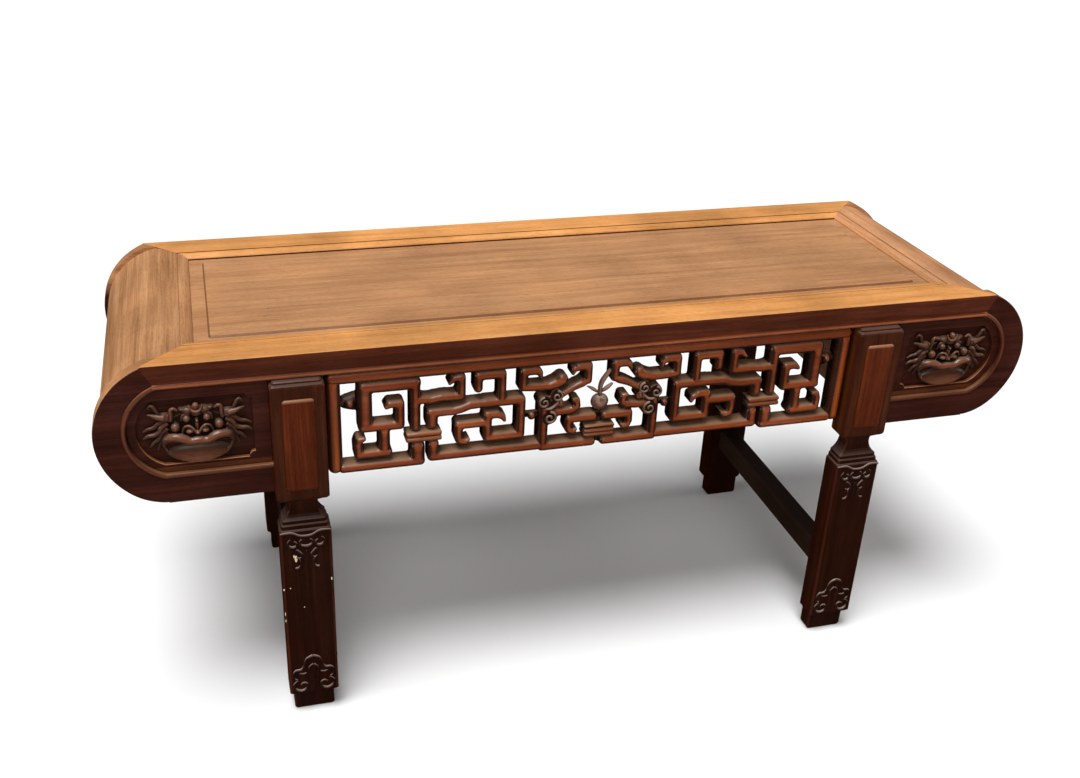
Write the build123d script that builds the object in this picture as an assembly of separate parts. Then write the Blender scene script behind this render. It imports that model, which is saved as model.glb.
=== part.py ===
from build123d import *
import os
from math import acos, cos, degrees, radians, sin, sqrt

# A low kang table with scrolled ends, in millimetres.
# Origin: on the floor under the middle of the table. +X runs along the table, +Y to its back, +Z up.
# Every piece is modelled in the +X +Y corner (right, back) and mirrored to the other corners.

# ---------------------------------------------------------------- driving dimensions
# whole table
table_length = 1000.0        # over the two scroll ends
body_depth = 324.0           # over the front and back faces of the long rails
table_height = 431.0

# mitred top frame
rail_width = 51.0            # long rail, seen from above
rail_height = 24.5
end_frame_width = 98.5       # scroll end to the inner edge of the frame
end_member_width = 38.5
moulding_width = 12.0        # bead round the inner edge of the frame
moulding_drop = 4.0
quirk = 1.2                  # small groove behind the bead
arris = 1.2                  # softened outer edge

# floating panel
tongue_thickness = 5.6
tongue_reach = 7.0
tongue_seat = 8.0            # depth of the groove in the frame
tongue_top_drop = 8.2        # top of the tongue under the top of the frame
panel_thickness = 12.0
field_drop = 3.6             # raised field under the top of the frame
margin_drop = 5.6            # sunk margin round the field
margin_long = 14.5           # margin at the two ends
margin_side = 11.0           # margin along the rails

# battens under the panel
batten_width = 30.0
batten_height = 14.0
batten_setback = 170.0       # scroll end to the middle of an outer batten
dovetail_neck = 22.0
dovetail_width = 27.0
dovetail_height = 4.0
batten_tenon_width = 18.0
batten_tenon_height = 6.0
batten_tenon_length = 12.0

# scroll ends
scroll_height = 148.0
scroll_radius = 79.0         # outer arc of the face boards
scroll_heel = 58.0           # arc that blends the outer arc into the flat underside
face_board = 16.0            # thickness of the face boards and the sills
window_radius = 48.5         # inner arc of the face boards
window_centre_rise = 4.0     # centre of the inner arc over the centre of the outer arc
sill_height = 32.5
bead_width = 5.0             # half-round bead round the window
bead_proud = 2.0
shell_radius = 73.0          # outer arc of the staves
shell_centre_shift = 1.5     # centre of the shell outside the centre of the face arc
shell_thickness = 12.0
stave_count = 3
shell_tongue = 5.0           # thickness of the staves' tongues
shell_tongue_reach = 4.7
shell_groove = 5.0
floor_tongue = 4.0

# carved end panels
mask_panel_back = 12.0       # back of the panel behind the rail face
mask_border_drop = 2.5       # border behind the rail face
mask_field_drop = 5.5        # sunk field behind the rail face
mask_tongue_back = 10.0
mask_tongue_front = 5.0
mask_tongue_reach = 4.0
mask_border_bottom = 9.0
mask_border_top = 13.0
mask_border_side = 14.0
mask_border_round = 8.5
mask_corner = 4.0

# legs
leg_setback = 189.6          # scroll end to the middle of a leg
leg_width = 52.4
leg_depth = 25.5
leg_proud = 9.3              # leg face in front of the rail face
lower_leg_top = 239.9
block_bottom = 274.6
cap_height = 5.7
foot_height = 26.6
foot_inset_side = 4.7
foot_inset_front = 7.5
neck_inset_side = 12.0
neck_inset_front = 5.5
field_width = 31.5           # raised field on the leg block
field_proud = 2.6
field_edge = 2.4
field_below_cap = 12.8
field_above_block = 12.0
leg_tenon_width = 26.0
leg_tenon_thickness = 9.0
leg_tenon_height = 15.0
leg_carving_proud = 1.6
leg_edge = 1.6

# stretchers between the front and back legs
stretcher_width = 24.0
stretcher_height = 29.0
stretcher_bottom = 76.0
stretcher_edge = 2.0
stretcher_tenon_width = 12.0
stretcher_tenon_height = 20.0
stretcher_tenon_length = 14.0

# inner boards that close the scroll boxes between the legs
inner_board = 12.0
inner_tenon_thickness = 6.0
inner_tenon_reach = 5.0
inner_tenon_height = 60.0

# openwork aprons
fret_bottom = 291.0
fret_head = 15.5
fret_thickness = 18.0
fret_drop = 3.0              # front of the apron behind the rail face
fret_stile = 15.0
fret_gap = 1.2               # shadow gap between the apron and the leg
fret_tongue = 5.0
fret_tongue_reach = 4.0
fret_round = 2.6             # rounded front edges of the bars
key_thickness = 4.0          # tongues of the scrollwork in the head rail
key_reach = 3.0

clearance = 0.2

# ---------------------------------------------------------------- places worked out from them
half_length = table_length / 2
leg_offset = half_length - leg_setback
batten_offset = half_length - batten_setback
face_y = body_depth / 2
inner_x = half_length - end_frame_width
inner_y = face_y - rail_width
joint_x = inner_x + end_member_width
rail_bottom = table_height - rail_height
board_back_y = face_y - face_board

scroll_bottom = table_height - scroll_height
scroll_x = half_length - scroll_radius
scroll_z = scroll_bottom + scroll_height / 2
window_z = scroll_z + window_centre_rise
sill_top = scroll_bottom + sill_height
window_half = (rail_bottom - sill_top) / 2
window_joint_x = scroll_x + sqrt(window_radius**2 - max(rail_bottom - window_z, window_z - sill_top) ** 2)
shell_x = scroll_x + shell_centre_shift
shell_z = table_height - shell_radius
shell_inner = shell_radius - shell_thickness
shell_bottom = shell_z - shell_radius

leg_inner_x = leg_offset - leg_width / 2
leg_outer_x = leg_offset + leg_width / 2
leg_front_y = face_y + leg_proud
leg_back_y = leg_front_y - leg_depth
cap_bottom = rail_bottom - cap_height

tongue_top = table_height - tongue_top_drop
tongue_bottom = tongue_top - tongue_thickness
groove_top = tongue_top + clearance
groove_bottom = tongue_bottom - clearance
panel_top = table_height - field_drop
panel_bottom = panel_top - panel_thickness
batten_bottom = panel_bottom - batten_height

fret_front_y = face_y - fret_drop
fret_back_y = fret_front_y - fret_thickness
fret_head_bottom = rail_bottom - fret_head
fret_outer_x = leg_inner_x - fret_gap
fret_inner_x = fret_outer_x - fret_stile

# The scrollwork is drawn on a field of 268 by 100: half its length, and the height under the head rail.
pattern_length = 268.0
pattern_bottom = 291.0
pattern_height = 100.0

mask_front_y = face_y - mask_border_drop
mask_field_y = face_y - mask_field_drop
mask_back_y = face_y - mask_panel_back
groove_y0 = face_y - mask_tongue_back
groove_y1 = face_y - mask_tongue_front

os.makedirs("parts", exist_ok=True)


# ---------------------------------------------------------------- helpers
def block(x0, x1, y0, y1, z0, z1):
    """A box between two opposite corners."""
    size = (abs(x1 - x0), abs(y1 - y0), abs(z1 - z0))
    return Pos((x0 + x1) / 2, (y0 + y1) / 2, (z0 + z1) / 2) * Box(*size)


def plate(outline, y0, y1):
    """An outline drawn in X and Z, as a board between two values of Y."""
    front = Plane(origin=(0, max(y0, y1), 0), x_dir=(1, 0, 0), z_dir=(0, -1, 0))
    return extrude(front * outline, amount=abs(y1 - y0))


def area(x0, x1, z0, z1):
    """A rectangle in an X and Z outline."""
    return Pos((x0 + x1) / 2, (z0 + z1) / 2) * Rectangle(abs(x1 - x0), abs(z1 - z0))


def disc(x, z, radius):
    """A circle in an X and Z outline."""
    return Pos(x, z) * Circle(radius)


def shape_of(*points):
    """A straight-sided figure in an X and Z outline."""
    return make_face(Polyline(*points, close=True))


def corner(piece, x_side, y_side):
    """A piece made in the +X +Y corner, mirrored to another corner."""
    if x_side < 0:
        piece = mirror(piece, about=Plane.YZ)
    if y_side < 0:
        piece = mirror(piece, about=Plane.XZ)
    return piece


def both_ends(piece):
    """A cut made at +X, and its mirror image at -X."""
    return piece + mirror(piece, about=Plane.YZ)


def save(piece, name):
    """One node: its solids, written to its own file."""
    solids = piece.solids()
    node = solids[0] if len(solids) == 1 else Compound(children=list(solids))
    node.label = name
    export_step(node, f"parts/{name}.step")


sides_x = (("left", -1), ("right", 1))
sides_y = (("front", -1), ("back", 1))
high = table_height + 60
far = half_length + 60


# ---------------------------------------------------------------- outlines of the scroll end
def scroll_outline():
    """Side view of the whole scroll end, as the face boards show it."""
    band = area(0, half_length, scroll_bottom, table_height)
    outline = band & (disc(scroll_x, scroll_z, scroll_radius) + area(0, scroll_x, 0, high))
    heel = outline.vertices().group_by(Axis.Y)[0].sort_by(Axis.X)[-1]
    return fillet(heel, scroll_heel)


def shell_outline(radius):
    """Side view of the curved shell at one radius, open towards the middle of the table."""
    return disc(shell_x, shell_z, radius) + area(0, shell_x, shell_z - radius, shell_z + radius)


def window_outline(grow):
    """Opening inside the face boards, grown outwards by a distance."""
    band = area(leg_outer_x - grow, half_length, sill_top - grow, rail_bottom + grow)
    return band & (disc(scroll_x, window_z, window_radius + grow) + area(0, scroll_x, 0, high))


def mask_groove():
    """Groove for the carved panel's tongue, in everything round the window."""
    return plate(window_outline(mask_tongue_reach), groove_y0, groove_y1)


def shell_tongues(reach, play):
    """Tongues of the staves past the face boards' back faces, and the grooves that take them."""
    middle = shell_radius - shell_thickness / 2
    ring = shell_outline(middle + shell_tongue / 2 + play) - shell_outline(middle - shell_tongue / 2 - play)
    ring = ring & area(shell_x, half_length, 0, high)
    return plate(ring, board_back_y - 1, board_back_y + reach)


def oblique_plane():
    """Joint between the long rail and the scroll's face board: mitred above, leaning outwards."""
    reach = board_back_y - inner_y
    top_inner = Vector(inner_x + reach, board_back_y, table_height)
    top_outer = Vector(inner_x + rail_width, face_y, table_height)
    foot = Vector(window_joint_x, face_y, rail_bottom)
    normal = (top_outer - top_inner).cross(foot - top_inner)
    if normal.X < 0:
        normal = -normal
    return Plane(origin=top_inner, z_dir=normal)


def outside_joint():
    """Everything in the face boards' layer that lies past the oblique joint."""
    layer = block(scroll_x - 80, far, board_back_y, face_y + 20, rail_bottom - 1, high)
    return split(layer, bisect_by=oblique_plane(), keep=Keep.TOP)


# ---------------------------------------------------------------- top frame
def frame_edge(outer):
    """Inner part of the frame's section: top moulding and panel groove, from the panel outwards."""
    crown = table_height
    lip = crown - moulding_drop
    bead_end = moulding_width - quirk
    lines = [
        Line((0, rail_bottom), (0, groove_bottom)),
        Line((0, groove_bottom), (tongue_seat, groove_bottom)),
        Line((tongue_seat, groove_bottom), (tongue_seat, groove_top)),
        Line((tongue_seat, groove_top), (0, groove_top)),
        Line((0, groove_top), (0, lip)),
        ThreePointArc((0, lip), (bead_end * 0.36, crown - moulding_drop * 0.3), (bead_end, crown - 0.3)),
        Line((bead_end, crown - 0.3), (bead_end, crown - quirk)),
        Line((bead_end, crown - quirk), (moulding_width, crown - quirk)),
        Line((moulding_width, crown - quirk), (moulding_width, crown)),
        Line((moulding_width, crown), (outer, crown)),
        Line((outer, crown), (outer, rail_bottom)),
        Line((outer, rail_bottom), (0, rail_bottom)),
    ]
    return make_face(lines)


def end_tenon(play):
    """Tenon of an end member, across the mitre into the long rail."""
    depth = 3.5
    x0 = inner_x + tongue_seat - 1.5
    return block(
        x0 - play, x0 + end_member_width * 0.33 + play,
        inner_y - depth, board_back_y + 4 + play,
        rail_bottom + 2 - play, groove_bottom - 1.6 + play,
    )


def leg_tenon(play):
    """Tenon on top of a leg, up into the long rail."""
    y0 = leg_back_y + 2.5
    return block(
        leg_offset - leg_tenon_width / 2 - play, leg_offset + leg_tenon_width / 2 + play,
        y0 - play, y0 + leg_tenon_thickness + play,
        rail_bottom - 1, rail_bottom + leg_tenon_height + play,
    )


def batten_tenon(x, play):
    """Tenon of a batten, into the long rail's inner face."""
    z1 = groove_bottom - 2.0
    return block(
        x - batten_tenon_width / 2 - play, x + batten_tenon_width / 2 + play,
        inner_y - 1, inner_y + batten_tenon_length + play,
        z1 - batten_tenon_height - play, z1 + play,
    )


def long_rail():
    """Back long rail: grooved for the panel, beaded along its lower edge, mitred at both ends."""
    section = Pos(inner_y, 0) * frame_edge(rail_width)
    bead = Pos(face_y, rail_bottom + bead_width / 2) * Ellipse(bead_proud, bead_width / 2)
    across = Plane(origin=(0, 0, 0), x_dir=(0, 1, 0), z_dir=(1, 0, 0))
    rail = extrude(across * (section + bead), amount=half_length, both=True)
    outer_edges = rail.edges().filter_by(Axis.X).group_by(Axis.Z)[-1].sort_by(Axis.Y)[-1]
    rail = fillet(outer_edges, arris)
    reach = board_back_y - inner_y
    mitre = Polyline(
        (inner_x, inner_y), (inner_x + reach, board_back_y),
        (far, board_back_y), (far, inner_y - 1), (inner_x, inner_y - 1), close=True,
    )
    mitre = extrude(make_face(mitre), amount=high)
    over = block(scroll_x, far, 0, face_y + 20, 0, high) - plate(scroll_outline(), 0, face_y + 20)
    cuts = both_ends(mitre)
    cuts += both_ends(outside_joint())
    cuts += both_ends(over)
    cuts += both_ends(mask_groove())
    cuts += both_ends(leg_tenon(clearance))
    cuts += both_ends(end_tenon(clearance))
    cuts += block(-fret_outer_x, fret_outer_x, groove_y0, groove_y1, rail_bottom - 1, rail_bottom + mask_tongue_reach)
    for x in (-batten_offset, 0, batten_offset):
        cuts += batten_tenon(x, clearance)
    return rail - cuts


def end_member():
    """Right end member of the frame: mitred into both long rails, its outer part starting the scroll."""
    section = Pos(inner_x, 0) * frame_edge(end_member_width)
    piece = extrude(Plane.XZ * section, amount=board_back_y, both=True)
    piece = piece & plate(shell_outline(shell_radius), -face_y, face_y)
    reach = board_back_y - inner_y
    mitre = Polyline(
        (inner_x - 1, inner_y - 1), (inner_x + reach + 1, board_back_y + 1),
        (inner_x - 1, board_back_y + 1), close=True,
    )
    mitre = extrude(make_face(mitre), amount=high)
    mitre += mirror(mitre, about=Plane.XZ)
    piece = piece - mitre
    tenon = end_tenon(0)
    outside = tenon & mitre.solids().sort_by(Axis.Y)[-1]
    piece += outside + mirror(outside, about=Plane.XZ)
    return piece


def top_panel():
    """Floating panel: a raised field, a sunk margin and a tongue all round."""
    body_x = inner_x - clearance
    body_y = inner_y - clearance
    margin_top = table_height - margin_drop
    panel = block(-body_x, body_x, -body_y, body_y, panel_bottom, margin_top)
    tongue_x = inner_x + tongue_reach
    tongue_y = inner_y + tongue_reach
    panel += block(-tongue_x, tongue_x, -tongue_y, tongue_y, tongue_bottom, tongue_top)
    field_x = inner_x - margin_long
    field_y = inner_y - margin_side
    field = block(-field_x, field_x, -field_y, field_y, margin_top - 1, panel_top)
    field = fillet(field.edges().filter_by(Axis.Z), 4.0)
    field = chamfer(field.faces().sort_by(Axis.Z)[-1].edges(), (margin_drop - field_drop) * 0.9)
    panel += field
    for x in (-batten_offset, 0, batten_offset):
        panel -= dovetail(x, inner_y, clearance)
    return panel


def dovetail(x, half, play):
    """Dovetail key on a batten, and its slot in the panel."""
    neck = dovetail_neck / 2 + play
    top = dovetail_width / 2 + play
    key = shape_of(
        (x - neck, panel_bottom - play), (x + neck, panel_bottom - play),
        (x + top, panel_bottom + dovetail_height + play), (x - top, panel_bottom + dovetail_height + play),
    )
    return plate(key, -half, half)


def batten(x):
    """Cross batten: dovetailed into the panel, tenoned into both long rails."""
    piece = block(x - batten_width / 2, x + batten_width / 2, -inner_y, inner_y, batten_bottom, panel_bottom)
    lower = piece.faces().sort_by(Axis.Z)[0].edges().filter_by(Axis.Y)
    piece = chamfer(lower, 2.0)
    piece += dovetail(x, inner_y - 3, 0)
    tenon = batten_tenon(x, 0)
    return piece + tenon + mirror(tenon, about=Plane.XZ)


# ---------------------------------------------------------------- scroll ends
def arc_bead():
    """Half-round bead round the curved edge of the window."""
    middle = window_radius + bead_width / 2
    axis = Axis(origin=(scroll_x, 0, window_z), direction=(0, 1, 0))
    section = Plane(origin=(scroll_x, 0, window_z), x_dir=(1, 0, 0), z_dir=(0, 0, 1))
    profile = section * (Pos(middle, face_y) * Ellipse(bead_width / 2, bead_proud))
    ring = revolve(profile, axis=axis, revolution_arc=360)
    return ring & block(window_joint_x, far, board_back_y, face_y + 20, 0, high)


def scroll_face():
    """Curved face board of one scroll, from the long rail round to the sill."""
    outline = scroll_outline() & area(scroll_x - 60, half_length, 0, high)
    board = plate(outline - window_outline(0), board_back_y, face_y)
    board += arc_bead()
    over = block(0, far, board_back_y - 1, face_y + 20, rail_bottom, high)
    kept = board & over & outside_joint()
    lower = board - over - block(0, window_joint_x, board_back_y - 1, face_y + 20, 0, rail_bottom)
    board = kept + lower
    rims = board.edges().filter_by(GeomType.CIRCLE).filter_by(lambda edge: edge.radius == scroll_radius)
    board = fillet(rims.sort_by(Axis.Y)[-1], arris)
    board -= mask_groove()
    board -= shell_tongues(shell_groove, 0.3)
    board -= sill_tenon(clearance)
    return board


def sill_tenon(play):
    """Tenon of a sill, outwards into the curved face board."""
    middle = scroll_bottom + sill_height * 0.45
    return block(
        window_joint_x - 1, window_joint_x + 12 + play,
        board_back_y + shell_groove + 1 - play, face_y - 4 + play,
        middle - 7.5 - play, middle + 7.5 + play,
    )


def sill_leg_tenon(play):
    """Tenon of a sill, inwards into the side of the leg."""
    middle = scroll_bottom + sill_height * 0.45
    return block(
        leg_outer_x - 10 - play, leg_outer_x + 1,
        board_back_y + 5 - play, face_y - 5 + play,
        middle - 7.5 - play, middle + 7.5 + play,
    )


def floor_tongues(play):
    """Tongue of the scroll's floor board, into the back of the sill."""
    middle = shell_bottom + shell_thickness / 2
    return block(
        leg_outer_x + 4 - play, shell_x - 4 + play,
        board_back_y - 1, board_back_y + floor_tongue + play,
        middle - 2 - play, middle + 2 + play,
    )


def sill():
    """Straight lower rail of the scroll's face, from the leg to the curved board."""
    piece = block(leg_outer_x, window_joint_x, board_back_y, face_y, scroll_bottom, sill_top)
    bead = Pos(face_y, sill_top - bead_width / 2) * Ellipse(bead_proud, bead_width / 2)
    across = Plane(origin=(leg_outer_x, 0, 0), x_dir=(0, 1, 0), z_dir=(1, 0, 0))
    piece += extrude(across * bead, amount=window_joint_x - leg_outer_x)
    piece -= mask_groove()
    piece -= shell_tongues(shell_groove, 0.3)
    piece -= floor_tongues(clearance)
    return piece + sill_tenon(0) + sill_leg_tenon(0)


def stave(number):
    """One stave of the curved shell; its ends are tongued into the face boards."""
    start = degrees(acos((joint_x - shell_x) / shell_radius))
    step = (start + 90.0) / stave_count
    upper = radians(start - number * step)
    lower = radians(start - (number + 1) * step)
    reach = shell_radius * 4
    wedge = shape_of(
        (shell_x, shell_z),
        (shell_x + reach * cos(lower), shell_z + reach * sin(lower)),
        (shell_x + reach * cos((upper + lower) / 2), shell_z + reach * sin((upper + lower) / 2)),
        (shell_x + reach * cos(upper), shell_z + reach * sin(upper)),
    )
    if number == 0:
        wedge = wedge + area(shell_x, shell_x + reach, shell_z, shell_z + reach)
        wedge = wedge & area(joint_x, far, shell_z + shell_inner * sin(lower) * 0.5, high)
        below = shape_of(
            (shell_x, shell_z), (shell_x + reach * cos(lower), shell_z + reach * sin(lower)),
            (shell_x + reach, 0), (shell_x, 0),
        )
        wedge = wedge - below
    shell = (shell_outline(shell_radius) - shell_outline(shell_inner)) & wedge
    body = plate(shell, -board_back_y, board_back_y)
    tongue = shell_tongues(shell_tongue_reach, 0) & plate(wedge, 0, face_y)
    return body + tongue + mirror(tongue, about=Plane.XZ)


def floor_board():
    """Flat board that closes the scroll from below."""
    piece = block(leg_outer_x, shell_x, -board_back_y, board_back_y, shell_bottom, shell_bottom + shell_thickness)
    tongue = floor_tongues(0)
    return piece + tongue + mirror(tongue, about=Plane.XZ)


def inner_board_tenon(play):
    """Tenon of the inner board, into the back of a leg."""
    middle = (scroll_bottom + rail_bottom) / 2
    x = leg_outer_x - inner_board / 2
    return block(
        x - inner_tenon_thickness / 2 - play, x + inner_tenon_thickness / 2 + play,
        leg_back_y - 1, leg_back_y + inner_tenon_reach + play,
        middle - inner_tenon_height / 2 - play, middle + inner_tenon_height / 2 + play,
    )


def inner_end_board():
    """Upright board between the front and back legs; it closes the scroll box and carries the batten."""
    x0 = leg_outer_x - inner_board
    piece = block(x0, leg_outer_x, -leg_back_y, leg_back_y, shell_bottom, rail_bottom)
    piece -= block(x0 - 1, leg_outer_x + 1, -inner_y, inner_y, batten_bottom, rail_bottom + 1)
    tenon = inner_board_tenon(0)
    return piece + tenon + mirror(tenon, about=Plane.XZ)


# ---------------------------------------------------------------- carved end panels
def mask_field():
    """Sunk field of the carved panel: round outside, with notched inner corners."""
    x0 = leg_outer_x + mask_border_side + 2
    z0 = sill_top + mask_border_bottom
    z1 = rail_bottom - mask_border_top
    inside = disc(scroll_x, window_z, window_radius - mask_border_round) + area(0, scroll_x, 0, high)
    field = inside & area(x0, half_length, z0, z1)
    return field - disc(x0, z0, mask_corner) - disc(x0, z1, mask_corner)


def ball(x, z, radius, stretch_x, stretch_z, rise):
    """A rounded boss on the sunk field."""
    boss = Pos(x, mask_field_y, z) * scale(Sphere(radius), by=(stretch_x, rise / radius, stretch_z))
    return boss & block(0, far, mask_field_y - 1, face_y + 20, 0, high)


def lion_mask():
    """Main forms of the carved lion mask: jaw, lips, muzzle, eyes, brow and ears."""
    x = (leg_outer_x + half_length) / 2 - 13.3
    z = window_z - 3
    jaw = ball(x, z - 20, 10, 3.0, 1.1, 3.2) - ball(x, z - 14, 10, 2.5, 0.5, 5.0)
    forms = [jaw, ball(x, z - 8, 6, 4.6, 0.75, 4.2)]
    forms.append(ball(x, z + 18, 8, 2.4, 1.0, 3.6))
    forms.append(ball(x, z + 25, 3.6, 1.0, 1.0, 4.2))
    for side in (-1, 1):
        forms.append(ball(x + side * 7.5, z + 1, 5.6, 1.2, 0.8, 4.8))
        forms.append(ball(x + side * 9.5, z + 12.5, 3.8, 1.0, 1.0, 4.6))
        forms.append(ball(x + side * 19.5, z + 5, 6.6, 1.0, 0.95, 4.6))
        forms.append(ball(x + side * 30, z + 16, 7.0, 1.35, 0.9, 3.4))
        forms.append(ball(x + side * 40, z - 3, 6.0, 1.2, 1.5, 2.0))
    mask = forms[0]
    for form in forms[1:]:
        mask = mask + form
    return mask


def mask_panel():
    """Carved panel inside the scroll's face, held by its tongue all round."""
    panel = plate(window_outline(-clearance), mask_back_y, mask_front_y)
    tongue = plate(window_outline(mask_tongue_reach - 0.4), groove_y0 + clearance, groove_y1 - clearance)
    panel += tongue
    panel -= plate(mask_field(), mask_field_y, face_y)
    return panel + lion_mask()


# ---------------------------------------------------------------- legs and stretchers
def leg_side_outline():
    """Half of the leg's front view, as distances in from its side at each height."""
    half = leg_width / 2
    neck = neck_inset_side
    foot = foot_inset_side
    neck_z = block_bottom - 9.0
    return [
        (0, 0), (half - foot - 3, 0), (half - foot, 3), (half - foot, foot_height - 2),
        (half - 1.5, foot_height), (half, foot_height + 1.5),
        (half, lower_leg_top - 4), (half - 2.5, lower_leg_top), (half - 2.5, lower_leg_top + 4),
        (half - 3.5, lower_leg_top + 5), (half - 3.5, lower_leg_top + 9), (half - 6, lower_leg_top + 14),
        (half - neck + 0.7, neck_z - 4), (half - neck, neck_z), (half - neck + 0.7, neck_z + 2.5),
        (half - 6, block_bottom - 4), (half - 1, block_bottom - 1), (half, block_bottom + 1),
        (half, cap_bottom), (half - 2.5, cap_bottom + 2.2), (half - 2.5, cap_bottom + 4.2),
        (half - 6, rail_bottom), (0, rail_bottom),
    ]


def leg_front_outline():
    """The leg's side view: how far its face stands back at each height."""
    face = leg_front_y
    neck = neck_inset_front
    foot = foot_inset_front
    neck_z = block_bottom - 9.0
    return [
        (face - foot - 2, 0), (face - foot, 2), (face - foot, foot_height - 2),
        (face - 1.5, foot_height), (face, foot_height + 1.5),
        (face, lower_leg_top - 2), (face - 2.5, lower_leg_top), (face - 2.5, lower_leg_top + 4),
        (face - 3.5, lower_leg_top + 5), (face - 3.5, lower_leg_top + 9), (face - 4.5, lower_leg_top + 12),
        (face - neck, neck_z - 4), (face - neck, neck_z + 2.5),
        (face - 4, block_bottom - 4), (face - 1, block_bottom - 1), (face, block_bottom + 1),
        (face, cap_bottom), (face - 3.7, cap_bottom + 2.2), (face - 3.7, cap_bottom + 4.2),
        (face - leg_proud + 0.5, rail_bottom),
        (leg_back_y, rail_bottom), (leg_back_y, block_bottom), (leg_back_y + 3, block_bottom - 6),
        (leg_back_y + 3, lower_leg_top + 6), (leg_back_y, lower_leg_top), (leg_back_y, 0),
    ]


def cloud_head(z, up):
    """Carved cloud-head outline on the lower leg; up is 1 for the foot motif and -1 for the top one."""
    x = leg_offset
    wing = 19.0
    figure = shape_of(
        (x - wing, z), (x - wing * 0.95, z + up * 26), (x - wing * 0.45, z + up * 33), (x, z + up * 47),
        (x + wing * 0.45, z + up * 33), (x + wing * 0.95, z + up * 26), (x + wing, z),
    )
    return fillet(figure.vertices(), 2.5)


def leg():
    """Slab leg: foot, carved lower leg, moulded neck, block with a raised field, stepped cap, tenon."""
    side = leg_side_outline()
    right_half = [(leg_offset + x, z) for x, z in side]
    left_half = [(leg_offset - x, z) for x, z in reversed(side)]
    front_view = shape_of(*(right_half + left_half[1:-1]))
    side_view = shape_of(*leg_front_outline())
    across = Plane(origin=(leg_offset - leg_width, 0, 0), x_dir=(0, 1, 0), z_dir=(1, 0, 0))
    body = plate(front_view, leg_back_y - 1, leg_front_y + 1)
    body = body & extrude(across * side_view, amount=leg_width * 2)
    plan = Pos(leg_offset, leg_front_y - leg_depth) * RectangleRounded(leg_width, leg_depth * 2, leg_edge)
    body = body & extrude(plan, amount=high)
    z0 = block_bottom + field_above_block
    z1 = cap_bottom - field_below_cap
    field = block(
        leg_offset - field_width / 2, leg_offset + field_width / 2,
        leg_front_y - 1, leg_front_y + field_proud, z0, z1,
    )
    field = chamfer(field.faces().sort_by(Axis.Y)[-1].edges(), field_edge)
    body += field
    for figure in (cloud_head(lower_leg_top - 4.5, -1), cloud_head(foot_height + 3, 1)):
        relief = plate(figure, leg_front_y - 1, leg_front_y + leg_carving_proud)
        relief = chamfer(relief.faces().sort_by(Axis.Y)[-1].edges(), leg_carving_proud * 0.6)
        body += relief
    body -= stretcher_tenon(clearance)
    body -= inner_board_tenon(clearance)
    body -= sill_leg_tenon(clearance)
    body -= mask_groove()
    body -= stile_tongue(clearance)
    return body + leg_tenon(0)


def stretcher_tenon(play):
    """Tenon of a stretcher, into the back of a leg."""
    middle = stretcher_bottom + stretcher_height / 2
    return block(
        leg_offset - stretcher_tenon_width / 2 - play, leg_offset + stretcher_tenon_width / 2 + play,
        leg_back_y - 1, leg_back_y + stretcher_tenon_length + play,
        middle - stretcher_tenon_height / 2 - play, middle + stretcher_tenon_height / 2 + play,
    )


def stretcher():
    """Low bar between the front and back legs of one end."""
    piece = block(
        leg_offset - stretcher_width / 2, leg_offset + stretcher_width / 2,
        -leg_back_y, leg_back_y, stretcher_bottom, stretcher_bottom + stretcher_height,
    )
    piece = chamfer(piece.edges().filter_by(Axis.Y), stretcher_edge)
    tenon = stretcher_tenon(0)
    return piece + tenon + mirror(tenon, about=Plane.XZ)


# ---------------------------------------------------------------- openwork aprons
def stretch_x(value):
    """A distance from the middle on the pattern's field, on the real apron."""
    return value * fret_inner_x / pattern_length


def stretch_z(value):
    """A height on the pattern's field, on the real apron."""
    return fret_bottom + (value - pattern_bottom) * (fret_head_bottom - fret_bottom) / pattern_height


def bars(*corners):
    """Bars of the pattern, each from x0, x1, z0 and z1 on the pattern's field."""
    figure = None
    for x0, x1, z0, z1 in corners:
        bar = area(stretch_x(x0), stretch_x(x1), stretch_z(z0), stretch_z(z1))
        figure = bar if figure is None else figure + bar
    return figure


def slant(*points):
    """A slanting bar of the pattern."""
    return shape_of(*[(stretch_x(x), stretch_z(z)) for x, z in points])


def rosette(x, z, radius):
    """A round curl of the pattern."""
    wide = stretch_x(x + radius) - stretch_x(x)
    tall = stretch_z(z + radius) - stretch_z(z)
    return Pos(stretch_x(x), stretch_z(z)) * Ellipse(wide, tall)


def openwork(figure):
    """A flat figure as carved work: full thickness, with softened front edges."""
    piece = plate(figure, fret_back_y, fret_front_y)
    front_edges = piece.faces().sort_by(Axis.Y)[-1].edges()
    for size in (fret_round, fret_round * 0.6):
        try:
            return chamfer(front_edges, size)
        except ValueError:
            continue
    return piece


def keys(play, *spans):
    """Tongues on top of the scrollwork, up into the head rail."""
    middle = (fret_front_y + fret_back_y) / 2
    made = None
    for x0, x1 in spans:
        key = block(
            stretch_x(x0) + 1.5 - play, stretch_x(x1) - 1.5 + play,
            middle - key_thickness / 2 - play, middle + key_thickness / 2 + play,
            fret_head_bottom - 1, fret_head_bottom + key_reach + play,
        )
        made = key if made is None else made + key
    return made


end_keys = ((188, 252), (143, 160))
middle_keys = ((101, 135),)
centre_keys = ((65, 88), (10, 30))


def end_scroll():
    """Square spiral next to the leg, with its hooked tail, its branch and its ear."""
    figure = bars(
        (188, 252, 378, 391), (237, 252, 335, 391), (205, 252, 335, 345), (205, 215, 335, 368),
        (206, 224, 360, 368), (189, 200, 331.5, 391), (220, 232, 305, 338), (220, 257, 305, 315),
        (248, 257, 305, 333), (145, 192, 361, 370.5), (143, 152, 361, 391), (150, 160, 384, 391),
        (250, 268, 362, 371),
    )
    figure += rosette(258, 366.5, 7.5)
    return openwork(figure) + keys(0, *end_keys)


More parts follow.
